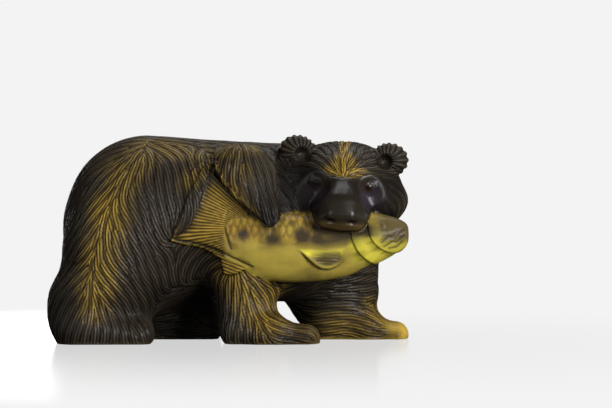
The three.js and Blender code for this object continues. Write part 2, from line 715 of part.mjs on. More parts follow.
function toSolid(wasm, geometry) {
  const bare = geometry.clone();
  bare.deleteAttribute('normal');
  bare.deleteAttribute('uv');
  const merged = mergeVertices(bare);
  const vertProperties = new Float32Array(merged.attributes.position.array);
  const triVerts = new Uint32Array(merged.index.array);
  return new wasm.Manifold(new wasm.Mesh({ numProp: 3, vertProperties, triVerts }));
}

async function cutFlatUnderFeet(geometry) {
  const wasm = await Module();
  wasm.setup();
  const floor = new THREE.BoxGeometry(2 * BODY_LENGTH, BODY_LENGTH, 2 * SOLE_DEPTH);
  floor.translate(0, 0, -SOLE_DEPTH);
  const standing = toSolid(wasm, geometry).subtract(toSolid(wasm, floor)).getMesh();
  return toGeometry(standing.vertProperties, Array.from(standing.triVerts));
}

async function carvedBear() {
  const thinned = new Thinner(meshField(carving)).thinTo(TRIANGLES);
  const geometry = await cutFlatUnderFeet(toGeometry(thinned.points, thinned.faces));
  geometry.computeBoundingBox();
  const { min, max } = geometry.boundingBox;
  geometry.translate(-(min.x + max.x) / 2, -(min.y + max.y) / 2, -min.z);
  geometry.scale(SCALE, SCALE, SCALE);
  geometry.computeVertexNormals();
  const wood = new THREE.MeshStandardMaterial({ color: WOOD_COLOUR, roughness: 0.35, metalness: 0 });
  const mesh = new THREE.Mesh(geometry, wood);
  mesh.name = 'bear_with_fish';
  return mesh;
}

const figure = new THREE.Group();
figure.add(await carvedBear());

export default figure;
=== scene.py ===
"""A walking bear with a fish in its mouth, carved in one block of wood and stained.

The block is carved here as a carver would: the rounded masses first, then the lobes, face,
ears and fish, then the gouge strokes of the fur, which follow the way the fur lies. All
carving is worked out in millimetres on the figure as it was drawn, then brought to the frame.
The bear walks towards +x, its right side, with the fish, looks to -y, and z is up.
"""

import math
from concurrent.futures import ThreadPoolExecutor

import bpy
import numpy as np
import openvdb
from bpy.props import FloatProperty, FloatVectorProperty, IntProperty, PointerProperty
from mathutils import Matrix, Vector


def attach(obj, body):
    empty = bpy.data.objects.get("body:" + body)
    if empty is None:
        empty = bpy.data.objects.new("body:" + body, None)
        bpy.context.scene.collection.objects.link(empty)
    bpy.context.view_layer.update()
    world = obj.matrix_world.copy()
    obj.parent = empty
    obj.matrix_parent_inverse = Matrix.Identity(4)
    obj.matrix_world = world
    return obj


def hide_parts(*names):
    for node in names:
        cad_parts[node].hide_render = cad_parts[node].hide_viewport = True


bl_info = {
    "name": "Carved bear with fish",
    "version": (1, 0, 0),
    "blender": (4, 5, 0),
    "location": "3D View > Sidebar > Carved bear",
    "description": "Carves and stains a wooden bear with a fish in its mouth",
    "category": "Add Mesh",
}

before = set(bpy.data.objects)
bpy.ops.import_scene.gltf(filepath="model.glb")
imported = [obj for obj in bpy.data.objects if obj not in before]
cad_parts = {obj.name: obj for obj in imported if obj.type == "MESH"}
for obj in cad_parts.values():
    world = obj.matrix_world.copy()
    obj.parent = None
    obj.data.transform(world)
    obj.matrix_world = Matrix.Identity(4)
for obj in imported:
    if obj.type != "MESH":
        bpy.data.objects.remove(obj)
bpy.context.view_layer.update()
NODE = "bear_with_fish"

# The figure as drawn, in millimetres, and its place in the frame
DRAWN_LENGTH = 235.7
DRAWN_MIDDLE = (1.75, -7.37)
REAL_LENGTH = 240.0
TO_METRES = REAL_LENGTH / DRAWN_LENGTH / 1000

# Masses of the body: ellipsoids as centre and radii, limbs as two ends, their radii and
# flatness along y, blocks as centre, half sizes and edge radius
BACK = ((-53.5, 0, 82), (34, 2, 82.4), 53.2, 46.5, 0.87)
RUMP = ((-61.5, 0, 60), (44.5, 46, 44))
CHEST = ((34, 6, 68), (40, 40, 42))
FAR_SHOULDER = ((58, 20, 74), (38, 26, 40))
NECK = ((24, 2, 83.8), (62, 0, 91.5), 42, 36, 0.95)
ARMPIT = ((-21, -64, 36), (25, 28, 25))
FAR_ARMPIT = ((6, 64, 34), (24, 26, 25))
MANE_LOCK = ((8, -30, 112), (27, -43, 83), 17, 8, 0.9)

NEAR_THIGH = ((-75.5, -27, 50), (31, 24, 44))
NEAR_HOCK = ((-94.6, -30, 27), (-94.6, -30, 19.5), 21.6, 21.6, 0.9)
NEAR_HIND_FOOT = ((-77, -31, 5), (29.5, 19, 9.5), 9.2)
FAR_THIGH = ((-60, 26, 52), (38, 22, 40))
FAR_SHIN = ((-42, 27, 36), (36, 21, 34))
FAR_HIND_FOOT = ((-40, 29, 7), (34, 19, 11), 9)
NEAR_FORELEG = ((14, -24, 58), (12.5, -28, 27), 26, 19.5, 0.88)
NEAR_WRIST = ((17, -30, 7), (21, 18.5, 9.5), 9)
NEAR_PAW = ((24, -30, 4), (51, -30, 3), 10.5, 9.5, 1.9)
FAR_FORELEG = ((64, 22, 70), (68.5, 29, 33), 36, 31.5, 0.66)
FAR_WRIST = ((77, 29, 6), (24, 19, 10), 9.5)
FAR_PAW = ((92, 29, 3), (111, 29, 2.5), 8.5, 8.8, 2.05)

# The head, in its own frame: u to its left cheek, v out of the face, w up
HEAD_AT = (75, -14, 102)
HEAD_ROLL = math.radians(5)
SKULL = ((0, -2, 1.5), (37, 34, 28))
CHEEK = ((25, -2, -10), (15, 24, 18))
BRIDGE = ((0, 23, 3), (0, 35, -14), 8, 14.5)
MUZZLE = ((0, 30, -17), (19, 19, 12.5))
SOCKET = ((20.5, 37, -3), (10.5, 13, 13.5))
EYELID = ((16, 19.6, 0.6), (8.5, 6.5, 7))
EYE = ((16, 22.6, 0.6), (4.5, 5, 3.5))
NOSE = ((0, 45, -19.5), (10, 6.5, 5.4), 4.5)
NOSTRIL = ((8, 51, -23.6), (4.6, 4, 1.8))
LIP = ((0, 37.5, -22.5), (15.6, 9.5, 5.8), 5.7)
RUFF = ((34.5, -3, -7), (8.8, 12, 9))
EAR = ((30, 8, 19.2), (12.4, 7, 11))
EAR_HOLLOW = ((27, 17.5, 17.8), (5, 7, 5))
EAR_RIDGES = 20
EAR_SHIFT = 1.4
EAR_RIDGE_DEPTH = 0.3

# The rim of the lids: its radius, how far it is squashed, its depth, its thickness and where
# it ends above the middle of the eye
LID_RING = (5.4, 1.3, 24.4, 1.1)
LID_ENDS = 1.6

# The body of the fish: where it ends, the line through its middle, and how it swells and tapers
FISH_TAIL, FISH_SNOUT = -4, 115.5
FISH_MIDDLE_Y, FISH_MIDDLE_Z = -39, 65.5
TAIL_TURN, TURN_FROM, TURN_TO = 4, 20, -5
FISH_DROOP, DROOP_RATE = 3.5, 1.2
HEAD_LIFT, HEAD_LIFT_POWER = 5, 1.5
FISH_HALF_HEIGHT, FISH_BELLY, BELLY_LENGTH = 19, 3.5, 0.75
FISH_HALF_WIDTH, FISH_FLANK = 11, 4
TAPER_FROM, TAPER_LENGTH, TAPER_POWER = 0.66, 0.335, 1.1
NARROWEST = 0.35
LEAST_HEIGHT, LEAST_WIDTH = 3.5, 3
SNOUT_ROUNDING = 2.5
SNOUT_EDGE, TAIL_EDGE = 4, 8
SNOUT_CUT, SNOUT_CUT_EDGE = 1.5, 2
FISH_SOFTENED = 0.9

# Plates and fins seen from the side, with the step they stand up and the softness of their rim
GILL_COVER, GILL_STEP = (104, 74, 24.5), 1.5
CHEEK_PLATE, CHEEK_STEP = (108, 76, 17.5), 2.7
PLATE_RIM = 1
SIDE_FIN_STEP, SIDE_FIN_RIM = 1.6, 1.2
SIDE_FIN_FADES = ((76, 64), (61, 55))
SIDE_FIN = ((47, 60.5), (52, 55.5), (57, 51), (61, 48.8), (66, 48.5), (72, 51), (75.5, 55), (74, 61))
TAIL_STEP = 1.4
TAIL_FIN = (
    (-9, 119), (-7, 108), (1, 98), (8, 91), (14, 84), (14, 60), (12, 48), (5, 44.5), (-2, 45),
    (-4, 55), (-14, 61), (-36, 66), (-30, 80), (-20, 100),
)
LEAF_STEP, LEAF_RIM, LEAF_FADE = 2.8, 1.2, (-38, -26)
LEAF_SLANT, LEAF_FOOT = 0.2, 66
SHOULDER_LEAF = (
    (-9, 121), (-11.5, 110), (-14.5, 98), (-17.5, 88), (-22, 78), (-28, 71), (-37, 66),
    (-36, 76), (-33, 88), (-29, 104), (-20, 115),
)
MANE_STEP, MANE_RIM, MANE_THINS = 3, 1.5, (126, 108)
MANE_LOBE = (
    (-8.4, 113.6), (-2.7, 103.4), (3.7, 95.1), (10.7, 88.7), (17.8, 83.6), (22.9, 78.5),
    (26.7, 75.4), (31, 75.6), (34.4, 80.4), (33, 92), (32, 104), (32, 140), (-9, 140),
)
RIGHT_SIDE = -14
FAR_OFF = 30

# How softly each thing melts into what it is added to or cut from
MELT = {
    "body": 14, "pit": 10, "hock": 10, "near foot": 15, "leg": 12, "paw": 9, "neck": 10, "mane": 9,
    "head": 4, "cheek": 10, "muzzle": 6, "socket": 3, "eyelid": 2, "eye": 0.5, "lid": 0.6, "lip": 4,
    "nose": 3, "nostril": 1, "ruff": 5, "ear": 3, "hollow": 2, "fish": 1, "plate": 0.3, "sole": 0.6,
}

# Fur runs like water from whorls (+) to where it gathers (-), over an even run down the side:
# x, z, strength and how far it is spread
NEAR_WHORLS = (
    (-52.8, 132.3, 34, 3.5), (-64, 108, 5, 12), (-74, 86, 5, 12), (-81, 64, 5, 12),
    (-88, 44, 15, 10), (-84, 22, 15, 12), (-34.8, 68.2, -14, 3.5), (-23.3, 28.5, -24, 6),
    (4.9, 47.7, 34, 3.5), (-13.7, 124.6, 10, 3.5),
)
FAR_WHORLS = (
    (-44, 130, 30, 3.5), (-58, 76, 8, 12), (-58, 44, 14, 10), (10, 124, 16, 5),
    (60, 92, 18, 8), (70, 46, 14, 10), (10, 30, -24, 6),
)
MANE_WHORLS = ((30.5, 72, -11, 3.5), (6, 140, 6, 3.5))
FORELEG_FAN = (4, 53)
TAIL_SPREAD = (24, 76)
FORWARD = (1, 0, 0)
PAW_STROKES = (0.95, 0, -0.22)
CROWN_UP, CROWN_LEAN = 5, -0.35
EAR_LEAN = -0.01

# Gouge strokes: the coarser tufts that cross them, their depths in millimetres, and how they
# are combed, on cells that get finer
TUFT_SLANT = 0.16
TUFT_SHARE = 0.34
TUFT_DEPTH = 0.95
SWELL_DEPTH = 0.3
COMB_CELLS = (1.3, 2.6, 5.2)
COMB_ROUNDS = (25, 60, 120, 300)
LEAST_AGREEMENT = 0.55
OWN_SHARE = 0.15
CELLS_FROM, CELLS_ACROSS = 200, 4096

# The net over the form
GRID = 0.8
COARSE = 4
PART = 40000
ROOM_LOW, ROOM_SIZE = (-124, -72, -4), (248, 130, 146)
BAND = 3
CLOSE_BY = 1.35
SLOPE_REACH = 0.25
LEAST_SLOPE, MOST_SHIFT = 0.2, 0.6

# Lines and small forms of the fish
TAIL_ROOT = ((0.5, 85), (-1.5, 78), (-0.5, 71), (3, 61))
LOWER_TAIL = ((-32, 67), (-16, 63.8), (-7, 60.6), (5.6, 54.8), (16.4, 49.7))
BELOW_TAIL, BELOW_PITCH = (-0.335, -0.942), 2.1
MOUTH_LINES = (
    ((99, 65), (104, 69.5), (106, 68), (111, 73), (113.5, 74)),
    ((101, 62.5), (106, 66), (109, 65.5), (114, 70)),
    ((104, 61.5), (109, 62.5), (112.5, 66)),
)
FISH_EYE = (100.5, 76.5, 2.1)
SCALE_WIDE, SCALE_TALL = 4.5, 6.2
FIN_FAN, FIN_RAY = (24, 74), 0.052
SIDE_FIN_PITCH = 1.9

# Ovals that mark out the face, the worn mane, the brow and the shades, as centre and radii;
# the neck shade is a painted shadow of the head
HEAD_REACH = ((0, 0, 0), (38, 38, 33))
FACE_HOLLOW = ((18.5, -4.5), (11.5, 14.5))
FACE_MUZZLE = ((0, -20), (21, 12))
FACE_BRIDGE = (13, 3, 2.5)
BROW = ((0, 9.5), (18, 4.5))
WORN_MANE = ((14, 97), (8, 12))
NECK_SHADE = ((41, 97), (15, 23))
FIN_SHADE = ((65.5, 55.5), (12, 6.5))
SNOUT_SHADE = ((113, 76), (14, 21))
MANE_TIP = (31, 77)
FISH_SPOTS = (
    (10.9, 70.9, 5.4), (30, 66.4, 7.2), (49, 69.5, 7.4), (58.6, 67, 6.5), (68.2, 68, 7), (76, 69, 6.5),
)
# The line of a painted shadow on the fish under the bear's muzzle
MUZZLE_SHADOW_LINE = ((58.6, 75), (75.8, 72), (90.5, 72.6))

# Yellow stripes on each side: a line, its half width and its strength
NEAR_STRIPES = (
    (((-52, 126), (-67, 108)), 10, 0.4),
    (((-67, 108), (-74, 88)), 12, 0.6),
    (((-74, 88), (-79, 62), (-83, 38)), 12, 0.85),
    (((-83, 40), (-84, 22)), 9, 0.6),
    (((-7, 114), (1, 101), (8, 93), (17, 85)), 3.5, 0.75),
    (((-6, 122), (16, 126)), 6, 0.3),
    (((-4, 108), (8, 112)), 8, 0.25),
    (((-10, 116), (-24, 106)), 7, 0.4),
    (((8, 46), (16, 30), (28, 16)), 13, 0.75),
    (((28, 14), (52, 5)), 9, 0.25),
    (((20, 48), (34, 38)), 8, 0.85),
    (((-14, 121), (-44, 128)), 6, 0.35),
)
FAR_STRIPES = (
    (((-46, 126), (-58, 104), (-64, 70), (-58, 30)), 9, 0.8),
    (((62, 96), (66, 60), (72, 20)), 10, 0.7),
    (((98, 14), (116, 4)), 12, 1.0),
)
STRIPES_FROM = 12

# Stains on the wood, and the colours of painted shade, shadow, glow and sheen, as linear red,
# green, blue and alpha
FISH_OLIVE = (0.29, 0.215, 0.035, 1)
FISH_YELLOW = (0.41, 0.325, 0.055, 1)
FISH_PATINA = (0.15, 0.095, 0.025, 1)
FISH_ORANGE = (0.3, 0.17, 0.024, 1)
# Bright yellow of the side fin, also used for a painted glow on the gill cover
FISH_BRIGHT_AND_GLOW = (0.7, 0.62, 0.06, 1)
SNOUT_BROWN = (0.06, 0.044, 0.02, 1)
# Brown of the sprayed spots, also used for painted shadows under the muzzle and the side fin's rim
SPOT_AND_SHADOW_BROWN = (0.026, 0.02, 0.015, 1)
FACE_DARK = (0.008, 0.0065, 0.005, 1)
FACE_OLIVE = (0.022, 0.017, 0.011, 1)
# A painted purple sheen for the face
FACE_PURPLE_SHEEN = (0.028, 0.02, 0.032, 1)
LIP_BROWN = (0.1, 0.065, 0.022, 1)
IRIS_BROWN = (0.024, 0.012, 0.006, 1)
PUPIL_BLACK = (0.004, 0.003, 0.003, 1)
FIBRE_BROWN = (0.02, 0.015, 0.01, 1)
# Black of the dark stain, also used for painted shade in the hollows and painted shadow and shade on the
# temple, neck, rump and belly
STAIN_AND_SHADE_BLACK = (0.004, 0.003, 0.0025, 1)

# The eyes, and the painted purple sheen on the cheeks, in the head's frame: the depths of the
# colours, and where each one starts and stops to fade, from its middle
CHEEK_AT, CHEEK_FADE = (21, 30, -6), (5, 14)
IRIS_OUT, IRIS_FADE = 3.5, (3.2, 4.2)
PUPIL_OUT, PUPIL_FADE = 5, (1.5, 2.3)

# The stage, in metres, with the grey of the room; the camera stands across from a drawn x
ROOM_GREY = 0.896
ROOM_LIGHT = {"Color": (ROOM_GREY, ROOM_GREY, ROOM_GREY, 1), "Strength": 1.0}
WALL_LEVELS = ((0.47, 0.05), (0.495, ROOM_GREY), (0.54, ROOM_GREY), (0.58, 0.05), (1, 0.14))
FLOOR_SIZE, BACKDROP_RADIUS = 12, 5.5
SHINE_FADE, SHINE = (0.05, 0.55), 0.3
LIGHTS = (
    # name, place, size, power in watts
    ("key", (1.15, -1.3, 0.55), 0.8, 50),
    ("fill", (-1.0, -1.4, 0.5), 0.8, 9),
    ("top", (0.1, 0.4, 1.3), 0.9, 11),
    ("back", (-0.5, 1.6, 0.3), 0.8, 16),
)
LIGHTS_AIM = (0, 0, 0.06)
CAMERA_X, CAMERA_LENS, CAMERA_REACH = 51, 142.8, 50


def melt(a, b, k):
    """Joins two fields, rounding the crease between them over k."""
    h = np.maximum(k - np.abs(a - b), 0) / k
    return np.minimum(a, b) - h * h * (k * 0.25)


def carve(a, b, k):
    """Cuts the second field out of the first."""
    return -melt(-a, b, k)


def overlap(a, b, k):
    """Keeps what lies in both fields."""
    return -melt(-a, -b, k)


def ease(start, end, x):
    """Runs softly from 0 at start to 1 at end."""
    t = np.clip((x - start) / (end - start), 0, 1)
    return t * t * (3 - 2 * t)


def oval(a, b, at, radii):
    """1 on the rim of an oval, less inside it."""
    return np.hypot((a - at[0]) / radii[0], (b - at[1]) / radii[1])


def disc(x, z, at_x, at_z, radius):
    return np.hypot(x - at_x, z - at_z) - radius


def ellipsoid(x, y, z, at, radii):
    px, py, pz = (x - at[0]) / radii[0], (y - at[1]) / radii[1], (z - at[2]) / radii[2]
    reach = np.sqrt(px * px + py * py + pz * pz)
    slope = np.sqrt((px / radii[0]) ** 2 + (py / radii[1]) ** 2 + (pz / radii[2]) ** 2)
    return reach * (reach - 1) / np.maximum(slope, 1e-6)


def limb(x, y, z, start, end, near_radius, far_radius, flat=1):
    bx, by, bz = (end[i] - start[i] for i in range(3))
    along = (x - start[0]) * bx + (y - start[1]) * by + (z - start[2]) * bz
    t = np.clip(along / (bx * bx + by * by + bz * bz), 0, 1)
    dx, dy, dz = x - start[0] - t * bx, (y - start[1] - t * by) / flat, z - start[2] - t * bz
    off = np.sqrt(dx * dx + dy * dy + dz * dz)
    return (off - (near_radius + (far_radius - near_radius) * t)) * min(1, flat)


def block(x, y, z, at, half, edge):
    qx = np.abs(x - at[0]) - half[0] + edge
    qy = np.abs(y - at[1]) - half[1] + edge
    qz = np.abs(z - at[2]) - half[2] + edge
    outside = np.sqrt(np.maximum(qx, 0) ** 2 + np.maximum(qy, 0) ** 2 + np.maximum(qz, 0) ** 2)
    return outside + np.minimum(np.maximum(qx, np.maximum(qy, qz)), 0) - edge


def off_edge(x, z, start, end):
    """Distance in the side plane to a straight edge, squared."""
    ex, ez = end[0] - start[0], end[1] - start[1]
    wx, wz = x - start[0], z - start[1]
    t = np.clip((wx * ex + wz * ez) / (ex * ex + ez * ez), 0, 1)
    return (wx - ex * t) ** 2 + (wz - ez * t) ** 2


def outline_distance(x, z, points):
    """Distance to a closed outline in the side plane, negative inside it."""
    nearest = np.full(x.shape, 1e9, x.dtype)
    inside = np.zeros(x.shape, bool)
    for (ax, az), (bx, bz) in zip(points, points[-1:] + points[:-1]):
        nearest = np.minimum(nearest, off_edge(x, z, (ax, az), (bx, bz)))
        above, below, left = z >= az, z < bz, (bx - ax) * (z - az) > (bz - az) * (x - ax)
        inside ^= (above & below & left) | ~(above | below | left)
    return np.where(inside, -1, 1) * np.sqrt(nearest)


def right_outline(x, y, z, points):
    """Distance to an outline on the bear's right side, far off everywhere else."""
    return np.where(y < RIGHT_SIDE, outline_distance(x, z, points), FAR_OFF)


def near_line(x, z, points):
    """Distance in the side plane to a line through points."""
    edges = zip(points, points[1:])
    return np.sqrt(np.minimum.reduce([off_edge(x, z, start, end) for start, end in edges]))


def torso(x, y, z):
    d = limb(x, y, z, *BACK)
    for mass in (RUMP, CHEST, FAR_SHOULDER):
        d = melt(d, ellipsoid(x, y, z, *mass), MELT["body"])
    for pit in (ARMPIT, FAR_ARMPIT):
        d = carve(d, ellipsoid(x, y, z, *pit), MELT["pit"])
    return d


def legs(x, y, z):
    hind = melt(ellipsoid(x, y, z, *NEAR_THIGH), limb(x, y, z, *NEAR_HOCK), MELT["hock"])
    yield melt(hind, block(x, y, z, *NEAR_HIND_FOOT), MELT["near foot"])
    hind = melt(ellipsoid(x, y, z, *FAR_THIGH), ellipsoid(x, y, z, *FAR_SHIN), MELT["leg"])
    yield melt(hind, block(x, y, z, *FAR_HIND_FOOT), MELT["leg"])
    fore = melt(limb(x, y, z, *NEAR_FORELEG), block(x, y, z, *NEAR_WRIST), MELT["leg"])
    yield melt(fore, limb(x, y, z, *NEAR_PAW), MELT["paw"])
    fore = melt(limb(x, y, z, *FAR_FORELEG), block(x, y, z, *FAR_WRIST), MELT["leg"])
    yield melt(fore, limb(x, y, z, *FAR_PAW), MELT["paw"])


def head_frame(x, y, z):
    """Places of the figure in the head's frame."""
    dx, dz = x - HEAD_AT[0], z - HEAD_AT[2]
    c, s = math.cos(HEAD_ROLL), math.sin(HEAD_ROLL)
    return dx * c - dz * s, HEAD_AT[1] - y, dx * s + dz * c


def out_of_head(u, v, w):
    """A way in the head's frame as a way in the figure's."""
    c, s = math.cos(HEAD_ROLL), math.sin(HEAD_ROLL)
    return u * c + w * s, -v, w * c - u * s


def ear_angle(u, w):
    """The way round an ear, seen from its hollow."""
    return np.arctan2(w - EAR_HOLLOW[0][2], np.abs(u + EAR_SHIFT) - EAR_HOLLOW[0][0])


def lid_ring(side, v, w):
    """The rim of the upper lid of an eye."""
    radius, squash, depth, thickness = LID_RING
    off = np.hypot(side - EYE[0][0], (w - EYE[0][2]) * squash) - radius
    return overlap(np.hypot(off, v - depth) - thickness, EYE[0][2] - LID_ENDS - w, 1)


def head(x, y, z):
    u, v, w = head_frame(x, y, z)
    side = np.abs(u)
    d = melt(ellipsoid(u, v, w, *SKULL), ellipsoid(side, v, w, *CHEEK), MELT["cheek"])
    d = melt(d, limb(u, v, w, *BRIDGE), MELT["muzzle"])
    d = melt(d, ellipsoid(u, v, w, *MUZZLE), MELT["muzzle"])
    d = carve(d, ellipsoid(side, v, w, *SOCKET), MELT["socket"])
    d = melt(d, ellipsoid(side, v, w, *EYELID), MELT["eyelid"])
    d = melt(d, ellipsoid(side, v, w, *EYE), MELT["eye"])
    d = melt(d, lid_ring(side, v, w), MELT["lid"])
    d = melt(d, block(u, v, w, *LIP), MELT["lip"])
    d = melt(d, block(u, v, w, *NOSE), MELT["nose"])
    d = carve(d, ellipsoid(side, v, w, *NOSTRIL), MELT["nostril"])
    d = melt(d, ellipsoid(side, v, w, *RUFF), MELT["ruff"])
    side = np.abs(u + EAR_SHIFT)
    scallops = EAR_RIDGE_DEPTH * np.cos(EAR_RIDGES * ear_angle(u, w))
    d = melt(d, ellipsoid(side, v, w, *EAR) + scallops, MELT["ear"])
    return carve(d, ellipsoid(side, v, w, *EAR_HOLLOW), MELT["hollow"])


def fish_body(x, y, z):
    t = np.clip((x - FISH_TAIL) / (FISH_SNOUT + SNOUT_ROUNDING - FISH_TAIL), 0, 1)
    nose = np.maximum(t - TAPER_FROM, 0) / TAPER_LENGTH
    taper = np.sqrt(np.maximum(1 - nose**TAPER_POWER, 0))
    droop = FISH_DROOP * np.sin(np.pi * np.minimum(t * DROOP_RATE, 1))
    mid_z = FISH_MIDDLE_Z - droop + HEAD_LIFT * nose**HEAD_LIFT_POWER
    mid_y = FISH_MIDDLE_Y + TAIL_TURN * ease(TURN_FROM, TURN_TO, x)
    belly = FISH_BELLY * np.sin(np.pi * np.minimum(t / BELLY_LENGTH, 1))
    height = np.maximum((FISH_HALF_HEIGHT + belly) * taper, LEAST_HEIGHT)
    flank = FISH_FLANK * np.sin(np.pi * t)
    narrowed = NARROWEST + (1 - NARROWEST) * taper
    width = np.maximum((FISH_HALF_WIDTH + flank) * narrowed, LEAST_WIDTH)
    pz, py = (z - mid_z) / height, (y - mid_y) / width
    reach = np.maximum(np.hypot(pz, py), 1e-3)
    d = reach * (reach - 1) / np.maximum(np.hypot(pz / height, py / width), 1e-6)
    return overlap(overlap(d, x - FISH_SNOUT, SNOUT_EDGE), FISH_TAIL - x, TAIL_EDGE) * FISH_SOFTENED


def fish(x, y, z):
    body = fish_body(x, y, z)
    cover, cheek = disc(x, z, *GILL_COVER), disc(x, z, *CHEEK_PLATE)
    d = melt(body, overlap(body - GILL_STEP, cover, PLATE_RIM), MELT["plate"])
    d = melt(d, overlap(body - CHEEK_STEP, cheek, PLATE_RIM), MELT["plate"])
    fade_x, fade_z = SIDE_FIN_FADES
    step = SIDE_FIN_STEP * ease(*fade_x, x) * ease(*fade_z, z)
    fin = overlap(body - step, outline_distance(x, z, SIDE_FIN), SIDE_FIN_RIM)
    return overlap(melt(d, fin, MELT["plate"]), x - FISH_SNOUT - SNOUT_CUT, SNOUT_CUT_EDGE)


def fur_masses(x, y, z):
    d = torso(x, y, z)
    for leg in legs(x, y, z):
        d = melt(d, leg, MELT["leg"])
    d = melt(d, limb(x, y, z, *NECK), MELT["neck"])
    return melt(d, limb(x, y, z, *MANE_LOCK), MELT["mane"])


def along_leaf(x, z):
    """How far forward on the shoulder leaf, square to the slant of its left edge."""
    return x - LEAF_SLANT * (z - LEAF_FOOT)


def form(x, y, z):
    """The whole carving before its strokes: distance to the surface, negative in the wood."""
    d = melt(fur_masses(x, y, z), head(x, y, z), MELT["head"])
    tail = overlap(d - TAIL_STEP, right_outline(x, y, z, TAIL_FIN), PLATE_RIM)
    d = melt(d, tail, MELT["plate"])
    leaf_step = LEAF_STEP * ease(*LEAF_FADE, along_leaf(x, z))
    leaf = overlap(d - leaf_step, right_outline(x, y, z, SHOULDER_LEAF), LEAF_RIM)
    d = melt(d, leaf, MELT["plate"])
    d = melt(d, fish(x, y, z), MELT["fish"])
    lobe_step = MANE_STEP * ease(*MANE_THINS, z)
    lobe = overlap(d - lobe_step, right_outline(x, y, z, MANE_LOBE), MANE_RIM)
    d = melt(d, lobe, MELT["plate"])
    return overlap(d, -z, MELT["sole"])


def in_parts(work, *columns):
    """Runs work on the columns part by part, on several threads, and joins what it returns."""
    cuts = range(0, len(columns[0]), PART)
    with ThreadPoolExecutor(4) as pool:
        done = list(pool.map(lambda at: work(*(c[at : at + PART] for c in columns)), cuts))
    return np.concatenate(done)


def field_of(points):
    return in_parts(form, *points.T)


def slope_of(points):
    slopes = []
    for axis in range(3):
        step = np.zeros(3, np.float32)
        step[axis] = SLOPE_REACH
        slopes.append(field_of(points + step) - field_of(points - step))
    return np.stack(slopes, 1) / (2 * SLOPE_REACH)


def unit(vectors):
    return vectors / np.maximum(np.linalg.norm(vectors, axis=1, keepdims=True), 1e-9)


def settle(points):
    """Moves points onto the carved surface and returns them with its outward normals."""
    slopes = slope_of(points)
    steep = np.maximum((slopes**2).sum(1), LEAST_SLOPE)
    shift = np.clip(field_of(points) / steep, -MOST_SHIFT, MOST_SHIFT)
    return points - shift[:, None] * slopes, unit(slopes)


def first_net():
    """Meshes the form on a grid that is only worked out close to the surface."""
    low = np.array(ROOM_LOW, np.float32)
    block_size = GRID * COARSE
    counts = np.ceil(np.array(ROOM_SIZE) / block_size).astype(int)
    steps = (np.indices(tuple(counts)).reshape(3, -1).T + 0.5) * block_size + low
    middle = field_of(steps.astype(np.float32)).reshape(counts)
    grid = np.repeat(np.repeat(np.repeat(middle, COARSE, 0), COARSE, 1), COARSE, 2)
    grid = np.clip(grid, -BAND, BAND).astype(np.float32)
    close = np.argwhere(np.abs(middle) < block_size * CLOSE_BY)
    inner = np.indices((COARSE,) * 3).reshape(3, -1).T
    places = (close[:, None] * COARSE + inner[None]).reshape(-1, 3)
    points = (places * GRID + low).astype(np.float32)
    grid[tuple(places.T)] = np.clip(field_of(points), -BAND, BAND)
    volume = openvdb.FloatGrid(float(BAND))
    volume.copyFromArray(grid)
    points, quads = volume.convertToQuads(isovalue=0)
    return points * GRID + low, quads.astype(np.int64)


def refine(points, quads):
    """Splits each four-sided face in four."""
    sides = np.stack([quads, np.roll(quads, -1, 1)], 2).reshape(-1, 2)
    ends, which = np.unique(np.sort(sides, 1), axis=0, return_inverse=True)
    which = which.reshape(-1, 4) + len(points)
    centres = np.arange(len(quads)) + len(points) + len(ends)
    joined = np.concatenate([points, points[ends].mean(1), points[quads].mean(1)])
    split = [
        np.stack([quads[:, i], which[:, i], centres, which[:, i - 1]], 1) for i in range(4)
    ]
    return joined.astype(np.float32), np.concatenate(split)


def ripple(points, size, seed):
    """A soft random field between about -1 and 1, features about size millimetres across."""
    rng = np.random.default_rng(seed)
    total = np.zeros(len(points), np.float32)
    for _ in range(7):
        way = rng.normal(size=3)
        way *= 2 * np.pi / (size * rng.uniform(1.3, 3.2) * np.linalg.norm(way))
        total += np.sin(points @ way.astype(np.float32) + rng.uniform(0, 6.28))
    return total / 2.6


